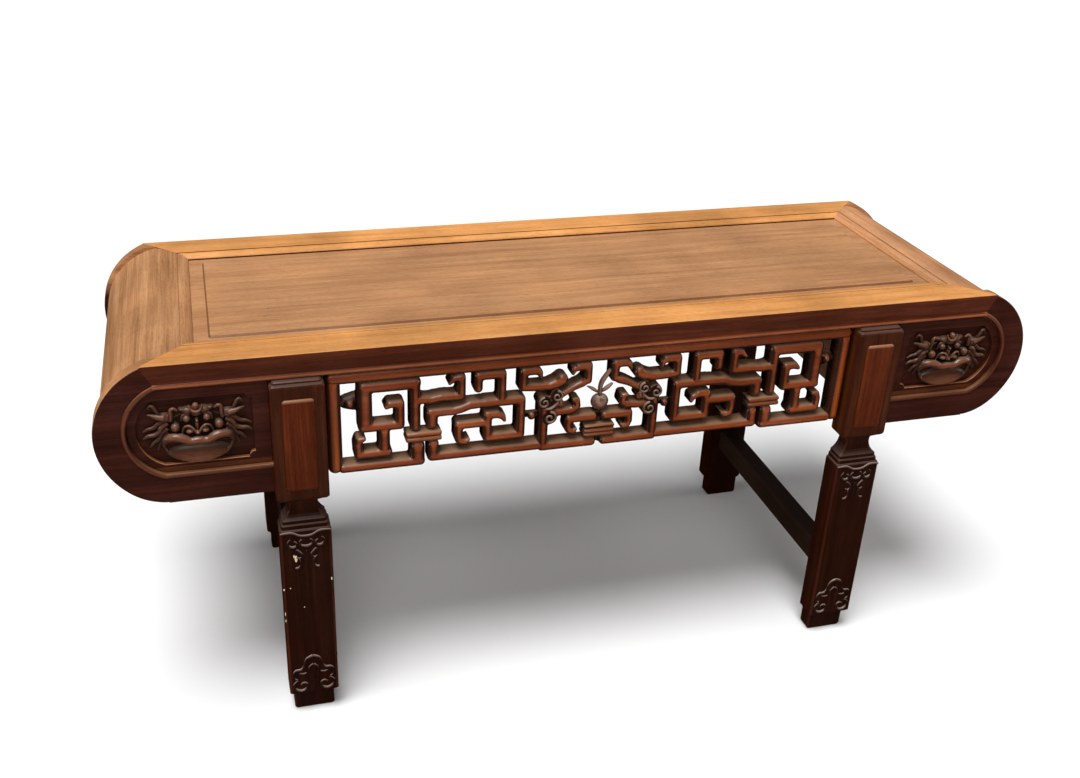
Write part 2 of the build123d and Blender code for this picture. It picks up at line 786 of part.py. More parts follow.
def end_foot():
    """Lower bar of the spiral, turned up to the tie."""
    return openwork(bars((184.5, 268, 291, 301), (184.5, 200, 291, 319)))


def middle_scroll():
    """Inner spiral, joined to the tie at one end and to the centre at the other."""
    figure = bars(
        (171, 184, 331.5, 354.5), (149, 184, 345, 354.5), (80, 140, 349.5, 360), (101, 110, 358, 391),
        (101, 135, 381, 391), (125, 135, 368, 391), (80, 90, 310, 360), (80, 125, 310, 320),
        (115, 125, 310, 346), (103, 125, 336.5, 346), (115, 155, 328, 337), (145, 155, 310, 337),
        (140, 155, 310, 317), (66, 82, 329, 337),
    )
    figure += slant((150, 345), (150, 354.5), (138, 360), (138, 349.5))
    return openwork(figure) + keys(0, *middle_keys)


def middle_foot():
    """Lower bar between the centre and the tie."""
    return openwork(bars((65, 182.5, 294, 304), (170, 182.5, 294, 319)))


def centre_half():
    """One half of the centre: curls, claws and rosettes of the facing dragons."""
    figure = bars(
        (53, 65, 291, 350), (0, 65, 291, 302), (78, 88, 365, 391), (65, 88, 382, 391), (38, 88, 365, 374.5),
        (10, 30, 382, 391), (10, 20, 366, 391), (0, 36, 322, 332), (26, 36, 308, 332), (22, 56, 335, 343),
        (18, 26, 335, 352), (22, 34, 347, 355), (0, 14, 300, 324), (0, 3, 322, 350),
    )
    figure += slant((10, 366), (12, 375), (20, 375), (44, 362), (40, 353))
    figure += slant((40, 366), (50, 366), (64, 348), (54, 340))
    figure += slant((30, 322), (30, 330), (54, 336), (54, 328))
    figure += rosette(40, 373, 7)
    figure += rosette(52, 333, 8)
    figure += rosette(60, 352, 8)
    figure += rosette(47, 360, 7)
    return figure


def centre_scroll():
    """Centre of the apron: the facing dragons and the fruit between them."""
    half = centre_half()
    figure = half + mirror(half, about=Plane.YZ)
    figure += rosette(0, 345, 10.5)
    figure += slant((-4, 352), (-5, 366), (5, 378), (9, 376), (3, 364), (4, 352))
    made = keys(0, *centre_keys)
    return openwork(figure) + both_ends(made)


def tie():
    """Tie that clasps the ends of two spirals: a block with two half-round ridges."""
    x0 = stretch_x(168)
    x1 = stretch_x(205)
    z0 = stretch_z(319)
    z1 = stretch_z(331.5)
    height = (z1 - z0) / 2
    piece = block(x0, x1, fret_back_y + 1, fret_front_y, z0, z1)
    for ridge in (0, 1):
        middle = z0 + height * (ridge + 0.5)
        bulge = plate(area(x0, x1, middle - height * 0.42, middle + height * 0.42), fret_front_y - 1, fret_front_y + 1.5)
        piece += fillet(bulge.faces().sort_by(Axis.Y)[-1].edges().filter_by(Axis.X), 1.2)
    return piece


def stile_tongue(play):
    """Tongue of a stile, into the side of the leg."""
    return block(
        fret_outer_x - 1, leg_inner_x + fret_tongue_reach + play,
        groove_y0 - play, groove_y0 + fret_tongue + play,
        fret_bottom + 4 - play, fret_head_bottom + play,
    )


def stile():
    """Upright of the apron beside the leg."""
    piece = block(fret_inner_x, fret_outer_x, fret_back_y, fret_front_y, fret_bottom, fret_head_bottom)
    piece = fillet(piece.faces().sort_by(Axis.Y)[-1].edges().filter_by(Axis.Z), fret_round)
    return piece + stile_tongue(0)


def head_rail():
    """Upper bar of the apron, tongued up into the long rail."""
    piece = block(-fret_outer_x, fret_outer_x, fret_back_y, fret_front_y, fret_head_bottom, rail_bottom)
    piece = fillet(piece.faces().sort_by(Axis.Y)[-1].edges().filter_by(Axis.X), fret_round * 1.3)
    piece += block(
        -fret_outer_x + 1, fret_outer_x - 1, groove_y0 + clearance, groove_y1 - clearance,
        rail_bottom - 6, rail_bottom + mask_tongue_reach - 0.4,
    )
    for spans in (end_keys, middle_keys, centre_keys):
        piece -= both_ends(keys(clearance, *spans))
    return piece


# ---------------------------------------------------------------- the table
rail = long_rail()
for name, y_side in sides_y:
    save(corner(rail, 1, y_side), f"long_rail_{name}")

member = end_member()
floor = floor_board()
inner = inner_end_board()
low_bar = stretcher()
for name, x_side in sides_x:
    save(corner(member, x_side, 1), f"end_member_{name}")
    save(corner(floor, x_side, 1), f"scroll_floor_{name}")
    save(corner(inner, x_side, 1), f"inner_board_{name}")
    save(corner(low_bar, x_side, 1), f"stretcher_{name}")
for number in range(stave_count):
    piece = stave(number)
    for name, x_side in sides_x:
        save(corner(piece, x_side, 1), f"scroll_stave_{number + 1}_{name}")

save(top_panel(), "top_panel")
save(batten(-batten_offset), "batten_left")
save(batten(0), "batten_middle")
save(batten(batten_offset), "batten_right")

curved_board = scroll_face()
low_rail = sill()
carved_panel = mask_panel()
slab_leg = leg()
for depth_name, y_side in sides_y:
    for name, x_side in sides_x:
        save(corner(curved_board, x_side, y_side), f"scroll_face_{depth_name}_{name}")
        save(corner(low_rail, x_side, y_side), f"scroll_sill_{depth_name}_{name}")
        save(corner(carved_panel, x_side, y_side), f"mask_panel_{depth_name}_{name}")
        save(corner(slab_leg, x_side, y_side), f"leg_{depth_name}_{name}")

whole = {
    "fret_head": head_rail(),
    "fret_centre": centre_scroll(),
    "fret_ties": both_ends(tie()),
    "fret_spiral_feet": both_ends(end_foot()),
    "fret_hook_feet": both_ends(middle_foot()),
}
paired = {
    "fret_stile": stile(),
    "fret_spiral": end_scroll(),
    "fret_hook": middle_scroll(),
}
for depth_name, y_side in sides_y:
    for label, piece in whole.items():
        save(corner(piece, 1, y_side), f"{label}_{depth_name}")
    for label, piece in paired.items():
        for name, x_side in sides_x:
            save(corner(piece, x_side, y_side), f"{label}_{depth_name}_{name}")
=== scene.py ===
# %% [markdown]
# # A kang table with scrolled ends
# A kang table is a low hardwood table for a raised, heated platform. The joiner's work comes in
# as solids, and this lesson dresses them: carved aprons, lion masks, carved legs, lacquered wood.
# Everything is in metres. +X runs along the table, +Y to its back and +Z up.

# %% Load the joiner's solids
import math
import bmesh
import bpy
from mathutils import Matrix, Vector


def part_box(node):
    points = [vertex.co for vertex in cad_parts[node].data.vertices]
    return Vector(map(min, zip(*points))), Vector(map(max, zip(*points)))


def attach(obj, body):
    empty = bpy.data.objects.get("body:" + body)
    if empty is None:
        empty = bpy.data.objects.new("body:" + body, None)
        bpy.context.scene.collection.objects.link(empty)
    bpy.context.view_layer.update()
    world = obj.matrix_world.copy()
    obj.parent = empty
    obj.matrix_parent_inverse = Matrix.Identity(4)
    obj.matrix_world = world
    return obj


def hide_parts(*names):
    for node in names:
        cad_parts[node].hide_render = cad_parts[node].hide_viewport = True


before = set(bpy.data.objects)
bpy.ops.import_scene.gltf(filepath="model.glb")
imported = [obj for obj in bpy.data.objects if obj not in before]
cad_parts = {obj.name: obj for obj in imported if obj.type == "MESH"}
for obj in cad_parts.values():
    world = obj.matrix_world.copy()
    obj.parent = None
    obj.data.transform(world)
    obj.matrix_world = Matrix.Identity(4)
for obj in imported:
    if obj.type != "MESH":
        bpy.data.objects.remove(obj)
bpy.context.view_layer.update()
MM = 0.001
SIDES = (("left", -1), ("right", 1))
DEPTHS = (("front", -1), ("back", 1))
print("solids:", len(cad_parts))

# %% [markdown]
# ## Places taken from the solids
# Each carved piece sits where its solid sits, so its sizes are read from the solids' boxes. The
# right and back corner is worked out once, and the other corners are its mirror images.

# %% Read the places of legs, aprons and panels
LEG_THICK = 25.5 * MM      # the leg's slab, without its raised field
FIELD_PROUD = 2.6 * MM     # the raised field in front of the leg's block
SILL_TO_RAIL = 123.5 * MM  # from the underside of the sill up to the underside of the long rail
BEAD_PROUD = 2.0 * MM      # the bead in front of the face boards
MASK_SUNK = 6.5 * MM       # the masks' field behind the face boards
HAIR = 1e-6                # slack for comparing places, in metres

leg_low, leg_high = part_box("leg_back_right")
apron_low, apron_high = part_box("fret_head_back")
stile_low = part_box("fret_stile_back_right")[0]
sill_low, sill_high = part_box("scroll_sill_back_right")
face_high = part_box("scroll_face_back_right")[1]
leg_centre = (leg_low.x + leg_high.x) / 2
leg_front = leg_high.y - FIELD_PROUD
leg_back = leg_front - LEG_THICK
rail_bottom = sill_low.z + SILL_TO_RAIL
face_y = sill_high.y - BEAD_PROUD
field_y = face_y - MASK_SUNK
apron_front = apron_high.y
apron_back = apron_low.y
print("leg centre %.1f mm, apron front %.1f mm" % (leg_centre / MM, apron_front / MM))


# %% [markdown]
# ## Small tools
# A carver starts from blocks and rounds them over. Here each form starts as a few overlapping
# blocks, discs, balls and rods in one bmesh. A voxel remesh melts them into one skin, and a few
# rounds of smoothing sand the edges, as a scraper and years of hands do. Booleans and bevels could
# also do it, but they break down where many rounded bars meet.

# %% Parts and blocks
def keep_part(bm, part):
    """Adds a finished part to the bmesh of its piece."""
    mesh = bpy.data.meshes.new("part")
    part.to_mesh(mesh)
    part.free()
    bm.from_mesh(mesh)
    bpy.data.meshes.remove(mesh)


def round_over(bm, edges, offset, segments, number=-1, clamp=False):
    """Rounds edges over; the new faces may have a finish of their own."""
    bmesh.ops.bevel(bm, geom=edges, offset=offset, offset_type="OFFSET", segments=segments,
                    profile=0.5, affect="EDGES", material=number, clamp_overlap=clamp)


def block(bm, low, high, corner=0.0, dome=0.0):
    """A block; corner rounds its edges along Y, and dome the edges of its face at high Y."""
    part = bmesh.new()
    bmesh.ops.create_cube(part, size=1.0)
    size = [abs(b - a) for a, b in zip(low, high)]
    middle = [(a + b) / 2 for a, b in zip(low, high)]
    bmesh.ops.scale(part, vec=size, verts=part.verts)
    bmesh.ops.translate(part, vec=middle, verts=part.verts)
    if corner:
        along = [e for e in part.edges if abs(e.verts[0].co.y - e.verts[1].co.y) > size[1] / 2]
        round_over(part, along, corner, 4)
    if dome:
        top = max(low[1], high[1])
        round_over(part, [e for e in part.edges if all(abs(v.co.y - top) < HAIR for v in e.verts)], dome, 3)
    keep_part(bm, part)


# %% Discs, balls and rods
def disc(bm, x, z, radius, y0, y1, sides=24):
    """A round post that runs along Y."""
    place = Matrix.Translation((x, (y0 + y1) / 2, z)) @ Matrix.Rotation(math.pi / 2, 4, "X")
    bmesh.ops.create_cone(bm, cap_ends=True, segments=sides, radius1=radius, radius2=radius,
                          depth=abs(y1 - y0), matrix=place)


def ball(bm, x, y, z, size, detail=16):
    """A ball, or with three sizes an egg."""
    size = (size,) * 3 if isinstance(size, float) else size
    place = Matrix.Translation((x, y, z)) @ Matrix.Diagonal((*size, 1.0))
    bmesh.ops.create_uvsphere(bm, u_segments=detail, v_segments=detail // 2, radius=1.0, matrix=place)


def rod(bm, points, radii, steps=4, around=3):
    """A tapering round rod along a smooth line near its points."""
    line = bpy.data.curves.new("line", "CURVE")
    line.dimensions = "3D"
    line.bevel_depth = 1.0
    line.bevel_resolution = around
    line.use_fill_caps = True
    line.resolution_u = steps
    spline = line.splines.new("NURBS")
    spline.points.add(len(points) - 1)
    for knot, point, radius in zip(spline.points, points, radii):
        knot.co = (*point, 1.0)
        knot.radius = radius
    spline.order_u = 3
    spline.use_endpoint_u = True
    holder = bpy.data.objects.new("line", line)
    mesh = bpy.data.meshes.new_from_object(holder)
    bm.from_mesh(mesh)
    bpy.data.objects.remove(holder)
    bpy.data.curves.remove(line)
    bpy.data.meshes.remove(mesh)


# %% Melt, sand and mirror
def as_object(bm, name):
    """Puts a finished bmesh into the scene as an object."""
    mesh = bpy.data.meshes.new(name)
    bm.to_mesh(mesh)
    bm.free()
    made = bpy.data.objects.new(name, mesh)
    bpy.context.scene.collection.objects.link(made)
    return made


def modified(*holders):
    """What the first object's modifiers make of it, as a bmesh; the objects are thrown away."""
    graph = bpy.context.evaluated_depsgraph_get()
    result = bpy.data.meshes.new_from_object(holders[0].evaluated_get(graph))
    made = bmesh.new()
    made.from_mesh(result)
    bpy.data.meshes.remove(result)
    for holder in holders:
        mesh = holder.data
        bpy.data.objects.remove(holder)
        bpy.data.meshes.remove(mesh)
    return made


def melt(bm, grain, sanding):
    """Turns overlapping parts into one skin of small faces, and sands it."""
    holder = as_object(bm, "melt")
    skin = holder.modifiers.new("skin", "REMESH")
    skin.mode = "VOXEL"
    skin.voxel_size = grain
    smooth = holder.modifiers.new("sand", "SMOOTH")
    smooth.factor = 0.5
    smooth.iterations = sanding
    return modified(holder)


def mirrored(bm, x_side=-1, y_side=1, middle=0.0):
    """A copy of a part, mirrored in X about the middle, in Y, in both or in neither."""
    made = bm.copy()
    bmesh.ops.scale(made, vec=(x_side, y_side, 1), space=Matrix.Translation((-middle, 0, 0)),
                    verts=made.verts)
    if x_side * y_side < 0:
        bmesh.ops.reverse_faces(made, faces=made.faces)
    return made


def paint(bm, number):
    """Gives a whole part one of its piece's finishes."""
    for face in bm.faces:
        face.material_index = number


# %% Finish a piece
def soften_shading(bm, angle=40.0):
    """Smooth shading, but for edges sharper than the angle."""
    for face in bm.faces:
        face.smooth = True
    for edge in bm.edges:
        edge.smooth = edge.is_manifold and edge.calc_face_angle(0.0) < math.radians(angle)


def finish(bm, name, finishes, slot, nodes, x_side=1, y_side=1):
    """One piece of the table: mirrored to its corner, and standing for its solids."""
    made = mirrored(bm, x_side, y_side)
    soften_shading(made)
    piece = as_object(made, name)
    for finish_material in finishes:
        piece.data.materials.append(finish_material)
    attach(piece, "root")
    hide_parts(*nodes)
    return piece


# %% [markdown]
# ## Lacquered hardwood
# The table is a dense rosewood-like hardwood under a thin brown lacquer. What the eye gets from it:
# long fine streaks along the board, short open pores, slow clouds of lighter and darker stain, and a
# satin sheen that breaks up where the lacquer is rubbed. Colours are sRGB hex values, as on a paint
# chart. Blender counts in linear light, so one function turns them. One more function adds nodes.

# %% Colours and a node helper
def linear(hex_colour):
    """An sRGB hex colour as linear red, green, blue and alpha."""
    values = [int(hex_colour[i:i + 2], 16) / 255 for i in (1, 3, 5)]
    return (*[v / 12.92 if v <= 0.04045 else ((v + 0.055) / 1.055) ** 2.4 for v in values], 1.0)


def add(tree, kind, inputs=None, stops=(), **settings):
    """Adds a node, sets it, fills its inputs with values or links, and gives a ramp its stops."""
    node = tree.nodes.new(kind)
    for name, value in settings.items():
        setattr(node, name, value)
    for name, value in (inputs or {}).items():
        if isinstance(value, bpy.types.NodeSocket):
            tree.links.new(value, node.inputs[name])
        else:
            node.inputs[name].default_value = value
    if stops:
        elements = node.color_ramp.elements
        while len(elements) < len(stops):
            elements.new(0.5)
        for element, (place, colour) in zip(elements, stops):
            element.position = place
            element.color = linear(colour)
    return node


# %% [markdown]
# ### Grain
# An image of wood would have to be wrapped round each board and would show where it ends. Noise in
# three dimensions runs on round every corner. It is stretched along the board three times: fine
# streaks, broad bands and short pores. A slow drift bends all three together, as a tree grows.

# %% Sizes of the grain
STREAK = 1.6 * MM      # spacing of the fine streaks across the board
BAND = 9.0 * MM        # spacing of the broad bands
PORE = 0.7 * MM        # pores, drawn about twice as wide as real ones, so that they show
RUN = 90 * MM          # length of a streak along the board
PORE_RUN = 7 * MM      # length of a pore
DRIFTS = 7.0           # bends of the grain in a metre, so one is about 140 mm long
DRIFT_REACH = 6 * MM   # how far a bend carries the grain
CLOUDS = 11.0          # clouds of stain in a metre, so one is about 90 mm across
DENT = 0.12 * MM       # depth of the streaks and pores
TONES_AT = (0.34, 0.5, 0.66)   # where in the noise the dark, middle and light tones are reached
CLOUDY = (0.3, 0.7)    # where in their noise clouds are darkest and lightest
PITTED = (0.36, 0.44)  # where in theirs pores are open and closed
PIT_DARK = 0.72        # brightness left in an open pore


def grain(tree, place, axis, run, across, detail, rough=0.6):
    """Noise that repeats slowly along the board and fast across it."""
    often = tuple(1 / run if name == axis else 1 / across for name in "XYZ")
    turn = add(tree, "ShaderNodeMapping", {"Vector": place, "Scale": often})
    return add(tree, "ShaderNodeTexNoise", {"Vector": turn.outputs["Vector"], "Scale": 1.0,
                                            "Detail": detail, "Roughness": rough}).outputs["Fac"]


# %% [markdown]
# ### Where stain and painted light go
# The top is honey tan where it looks up, partly faded by light and partly painted light, while the
# upright faces keep their dark red. Ledges get dust and painted highlight, high edges get wear and
# painted highlight, and steep sides and hollows get painted shade. Masks could be painted by hand.
# Here each mark follows a measure of the surface instead, such as which way it looks, so one recipe
# serves every board.

# %% Measures of the surface
SCROLL_X = 421 * MM    # middle of the scrolls, from the middle of the table
SCROLL_Z = 357 * MM    # and from the floor
# The dark steep sides are painted shade.
LEDGE = 0.45           # how much a ledge counts as a front, so that only steep sides are dark
SUMS = (   # measures worked out from earlier ones: name, operation and values
    ("reach", "ABSOLUTE", "y"),                    # from the middle towards front or back
    ("frontal", "ABSOLUTE", "facing y"),           # 1 on fronts and backs
    ("half", "SIGN", "y"),
    ("outward", "MULTIPLY", "facing y", "half"),   # 1 where it looks out of the table, -1 in
    ("ledge", "MAXIMUM", "up", 0.0),
    ("flat", "MULTIPLY_ADD", "ledge", LEDGE, "frontal"),
    ("along", "ABSOLUTE", "x"),
    ("past", "SUBTRACT", "along", SCROLL_X),
    ("out", "MAXIMUM", "past", 0.0),
    ("rise", "SUBTRACT", "height", SCROLL_Z),
)


def measures(tree):
    """Numbers at each point of the surface that stains and painted light and shade can follow."""
    seen = add(tree, "ShaderNodeTexCoord").outputs
    place = add(tree, "ShaderNodeSeparateXYZ", {"Vector": seen["Object"]}).outputs
    facing = add(tree, "ShaderNodeSeparateXYZ", {"Vector": seen["Normal"]}).outputs
    known = {"x": place["X"], "y": place["Y"], "height": place["Z"], "facing y": facing["Y"],
             "up": facing["Z"], "bulge": add(tree, "ShaderNodeNewGeometry").outputs["Pointiness"]}
    for name, operation, *values in SUMS:
        inputs = {count: known.get(value, value) for count, value in enumerate(values)}
        known[name] = add(tree, "ShaderNodeMath", inputs, operation=operation).outputs[0]
    spoke = add(tree, "ShaderNodeCombineXYZ", {"X": known["out"], "Y": known["rise"]}).outputs["Vector"]
    known["spoke"] = add(tree, "ShaderNodeVectorMath", {0: spoke}, operation="LENGTH").outputs["Value"]
    return known


def stain_and_painted_light(what, start, full, strength, colour, way="MIX"):
    """One colour mark, for stains and for painted light and shade alike: the measure it follows, where it
    starts and is full, its strength and colour.
    """
    return what, start, full, strength, linear(colour), way


# %% Faded by light, partly painted light on the tops
SCROLL_SKIN = (56 * MM, 64 * MM)   # the light reaches only the outermost wood of the scrolls
RIM_WALL = (375 * MM, 395 * MM)    # and the inner walls of their rims above these heights
LOOKS_IN = (-0.6, -0.9)            # outward measure of such a wall
LOOKS_OUT = (0.9, 0.6)             # fronts keep their dark red


def fade_and_painted_light(tree, seen, looks_up, pale_inside):
    """How far each point is faded by light and painted lighter for the light falling on it, from 0 to 1."""
    front = "outward" if pale_inside else "frontal"
    limits = [("up", looks_up), ("spoke", SCROLL_SKIN), (front, LOOKS_OUT)]
    if pale_inside:
        limits += [("outward", LOOKS_IN), ("height", RIM_WALL)]
    lift, *masks = [add(tree, "ShaderNodeMapRange", {"Value": seen[what], "From Min": start,
                                                     "From Max": full}).outputs["Result"]
                    for what, (start, full) in limits]
    steps = [(mask, "MULTIPLY") for mask in masks[:2]]
    if pale_inside:
        wall = add(tree, "ShaderNodeMath", {0: masks[2], 1: masks[3]}, operation="MULTIPLY").outputs[0]
        steps.insert(0, (wall, "MAXIMUM"))
    for mask, operation in steps:
        lift = add(tree, "ShaderNodeMath", {0: lift, 1: mask}, operation=operation).outputs[0]
    return lift


# %% One recipe for every board
def lacquered(name, axis, dark, mid, light, faded_and_lit=None, looks_up=(0.2, 0.6), pale_inside=False,
              stains_and_painted_light=(), gloss=0.34, shine=0.2, streaks=0.5, mottle=0.2):
    """Lacquered hardwood with its grain along one axis: grain, then fading with painted light, stains with
    painted light and shade, and clouds.
    """
    material = bpy.data.materials.new(name)
    material.use_nodes = True
    tree = material.node_tree
    tree.nodes.clear()
    place = add(tree, "ShaderNodeTexCoord").outputs["Object"]
    drift = add(tree, "ShaderNodeTexNoise", {"Vector": place, "Scale": DRIFTS, "Detail": 2.0})
    bend = add(tree, "ShaderNodeVectorMath", {0: drift.outputs["Color"], 3: DRIFT_REACH}, operation="SCALE")
    bent = add(tree, "ShaderNodeVectorMath", {0: place, 1: bend.outputs["Vector"]}, operation="ADD")
    bent = bent.outputs["Vector"]
    fine = grain(tree, bent, axis, RUN, STREAK, 5.0, 0.7)
    broad = grain(tree, bent, axis, RUN * 3, BAND, 3.0)
    pores = grain(tree, bent, axis, PORE_RUN, PORE, 2.0)
    cloud = add(tree, "ShaderNodeTexNoise", {"Vector": place, "Scale": CLOUDS, "Detail": 3.0})
    cloud = cloud.outputs["Fac"]
    mixed = add(tree, "ShaderNodeMath", {0: fine, 1: streaks}, operation="MULTIPLY").outputs[0]
    mixed = add(tree, "ShaderNodeMath", {0: broad, 1: 1 - streaks, 2: mixed},
                operation="MULTIPLY_ADD").outputs[0]
    tones = [*zip(TONES_AT, (dark, mid, light))]
    colour = add(tree, "ShaderNodeValToRGB", {"Fac": mixed}, stops=tones).outputs["Color"]
    seen = measures(tree)
    layers = []
    if faded_and_lit:
        tones = [*zip(TONES_AT, faded_and_lit)]
        pale = add(tree, "ShaderNodeValToRGB", {"Fac": mixed}, stops=tones).outputs["Color"]
        layers.append((fade_and_painted_light(tree, seen, looks_up, pale_inside), pale, "MIX"))
    for what, start, full, strength, mark_colour, way in stains_and_painted_light:
        mask = add(tree, "ShaderNodeMapRange", {"Value": seen[what], "From Min": start, "From Max": full,
                                                "To Max": strength}).outputs["Result"]
        layers.append((mask, mark_colour, way))
    shade, rough, pit = [
        add(tree, "ShaderNodeMapRange", {"Value": value, "From Min": start, "From Max": full,
                                         "To Min": low, "To Max": high}).outputs["Result"]
        for value, (start, full), low, high in (
            (cloud, CLOUDY, 1 - mottle, 1 + mottle * 0.6),
            (cloud, CLOUDY, gloss - 0.06, gloss + 0.1),
            (pores, PITTED, PIT_DARK, 1.0))]
    for tone in (shade, pit):
        grey = add(tree, "ShaderNodeCombineXYZ", {"X": tone, "Y": tone, "Z": tone}).outputs["Vector"]
        layers.append((1.0, grey, "MULTIPLY"))
    for mask, layer, way in layers:
        colour = add(tree, "ShaderNodeMix", {0: mask, 6: colour, 7: layer}, data_type="RGBA",
                     blend_type=way).outputs[2]
    dents = add(tree, "ShaderNodeMath", {0: fine, 1: pit}, operation="ADD").outputs[0]
    bump = add(tree, "ShaderNodeBump", {"Height": dents, "Strength": 0.25, "Distance": DENT})
    surface = add(tree, "ShaderNodeBsdfPrincipled", {
        "Base Color": colour, "Roughness": rough, "IOR": 1.5, "Specular IOR Level": shine,
        "Normal": bump.outputs["Normal"]})
    add(tree, "ShaderNodeOutputMaterial", {"Surface": surface.outputs["BSDF"]})
    return material


# %% [markdown]
# ### The finishes of this table
# The long boards run their grain along X, the end boards and staves along Y, the legs along Z. The
# panel is a greyer, finer board than its frame. The boards of the right end are painted paler than
# those of the left: painted light for the light that falls on that end. The carved work is stained
# darkest. Its high edges are paler, partly wear and partly painted highlight, its hollows and sides
# are nearly black with painted shade, and its ledges get dust and painted highlight. Beads are
# rubbed back to a paler red, partly wear and partly painted highlight.

# %% Tones of the wood
RED = ("#3C170A", "#4E210F", "#642E19")
DEEP = ("#2C1009", "#3A170D", "#4A2014")
BROWN = ("#34200F", "#4C301A", "#624226")
HONEY = ("#BE7E46", "#DA9656", "#E4A868")
TAN = ("#885E3A", "#B07D54", "#C8986C")
RIGHT_END_LIT_TAN = ("#9A6A44", "#C88E62", "#E0A97C")


def wear_highlight_and_hollow_shade(strength):
    """High edges of carved work made paler, partly wear and partly painted highlight, and its hollows nearly
    black with painted shade.
    """
    return [stain_and_painted_light("bulge", 0.5, 0.56, strength, "#C8926A"), stain_and_painted_light("bulge", 0.5, 0.45, 0.8, "#1A0A06")]


def bead_wear_and_highlight(strength, colour):
    """The beads that stand in front of the face boards and the rail, paler on their crests: partly wear,
    partly painted highlight.
    """
    return stain_and_painted_light("reach", face_y + 1.4 * MM, face_y + 1.95 * MM, strength, colour)


# %% Finishes of the top, the scrolls and the panel
# Tops that look up are honey: partly faded by light, partly painted light and sheen. The bead is paler:
# partly wear, partly painted highlight.
rail_finish = lacquered(
    "rosewood_rail", "X", *RED, faded_and_lit=HONEY, looks_up=(0.25, 0.8), stains_and_painted_light=[bead_wear_and_highlight(0.7, "#A45C36")],
    gloss=0.33, shine=0.14, mottle=0.28)
stave_finish = lacquered(
    "rosewood_stave", "Y", *BROWN, faded_and_lit=TAN, looks_up=(-0.9, -0.3), gloss=0.36)
# The right end's boards are painted paler than the left's: painted light for the light on that end.
right_end_lit_stave_finish = lacquered(
    "rosewood_right_stave_painted_light", "Y", *BROWN, faded_and_lit=RIGHT_END_LIT_TAN, looks_up=(-0.9, -0.3), gloss=0.36)
# The scroll boards are tan where they look up and on the upper inner walls of their rims: partly faded by
# light, partly painted light. Their upward faces are lighter still: partly dust, partly painted light.
face_finish = lacquered(
    "rosewood_face", "X", *DEEP, faded_and_lit=TAN, looks_up=(0.0, 0.45), pale_inside=True,
    stains_and_painted_light=[bead_wear_and_highlight(0.35, "#8A4E34"), stain_and_painted_light("up", 0.3, 0.85, 0.5, "#9C6C48")],
    gloss=0.33, shine=0.14, mottle=0.28)
# The panel is darker on every face that is not flat, the walls of its steps: painted shade.
panel_finish = lacquered(
    "rosewood_panel", "X", "#A4724C", "#BA865C", "#CA986C",
    stains_and_painted_light=[stain_and_painted_light("up", 0.97, 0.7, 0.8, "#6A4228")], gloss=0.3, mottle=0.17)
stretcher_finish = lacquered("rosewood_stretcher", "Y", "#1E120B", "#2A1910", "#362217", gloss=0.42)
inner_finish = lacquered("plain_inner_wood", "Y", "#4A2E1C", "#624028", "#7A5438", gloss=0.6)

# %% Finishes of the legs
# Below the neck, from 285 mm down to 255 mm, the leg turns darker: partly a darker stain, partly painted
# shade under the table. Faces that look up are greyer: partly dust, partly painted highlight.
leg_finish = lacquered(
    "rosewood_leg", "Z", "#301406", "#3E1A07", "#50260E", gloss=0.33, shine=0.14,
    stains_and_painted_light=[stain_and_painted_light("height", 285 * MM, 255 * MM, 1.0, "#B4AAAE", "MULTIPLY"),
            stain_and_painted_light("up", 0.25, 0.85, 0.35, "#72605A")])
# The raised field is paler where it looks up, along its top edge: painted highlight.
leg_field_finish = lacquered(
    "rosewood_leg_field", "Z", "#401704", "#541F06", "#6A2E10", gloss=0.3, shine=0.14, mottle=0.28,
    stains_and_painted_light=[stain_and_painted_light("up", 0.15, 0.8, 0.65, "#A67A5E")])
leg_edge_finish = lacquered(
    "rosewood_leg_edge", "Z", "#301006", "#3C160A", "#4C2010", gloss=0.3, shine=0.14)
# The carved ridges are pale where they look up: painted highlight.
leg_carving_finish = lacquered(
    "rosewood_leg_carving", "Z", "#1E0D08", "#28120B", "#361A12", gloss=0.3,
    stains_and_painted_light=[stain_and_painted_light("up", 0.25, 0.75, 0.8, "#98847A")])
bare_finish = lacquered("bare_wood_chip", "Z", "#C8B28C", "#DCC9A4", "#E8DABC", gloss=0.6)

# %% Finishes of the fretwork and the masks
# The fretwork gets painted shade: darker from 4.5 mm behind its front, nearly black by 8.5 mm, and nearly
# black on its steep sides. Its ledges are paler with dust and painted highlight, and its high edges and
# hollows get wear, painted highlight and painted shade.
fret_look = dict(gloss=0.24, shine=0.5, streaks=0.35, mottle=0.25, stains_and_painted_light=[
    stain_and_painted_light("reach", apron_front - 4.5 * MM, apron_front - 8.5 * MM, 0.7, "#22110A"),
    stain_and_painted_light("flat", 0.995, 0.92, 0.92, "#1E0E08"),
    stain_and_painted_light("up", 0.55, 0.98, 0.75, "#A47E63"), *wear_highlight_and_hollow_shade(0.04)])
fret_finish = lacquered("rosewood_fretwork", "X", "#6A2C10", "#803714", "#964A20", **fret_look)
fret_upright_finish = lacquered("rosewood_fret_upright", "Z", "#7C3410", "#984612", "#AE5A22", **fret_look)
# The hollows of the dragons' shells are nearly black: painted shade.
fret_hollow_shade_finish = lacquered("rosewood_fret_hollow_shade", "X", "#1C0F0A", "#28160F", "#382218", gloss=0.35)
# The laid-on spirals and peach are a dusty grey-brown, made paler too as painted light against the shade
# under the rail. Their steep sides get painted shade, and their upward faces dust and painted highlight.
fret_dust_and_light_finish = lacquered(
    "rosewood_carving_dust_and_light", "X", "#6C4A3A", "#86604E", "#9C7866", gloss=0.32,
    stains_and_painted_light=[stain_and_painted_light("flat", 0.995, 0.92, 0.7, "#2C1A12"), stain_and_painted_light("up", 0.3, 0.9, 0.6, "#B4A494")])
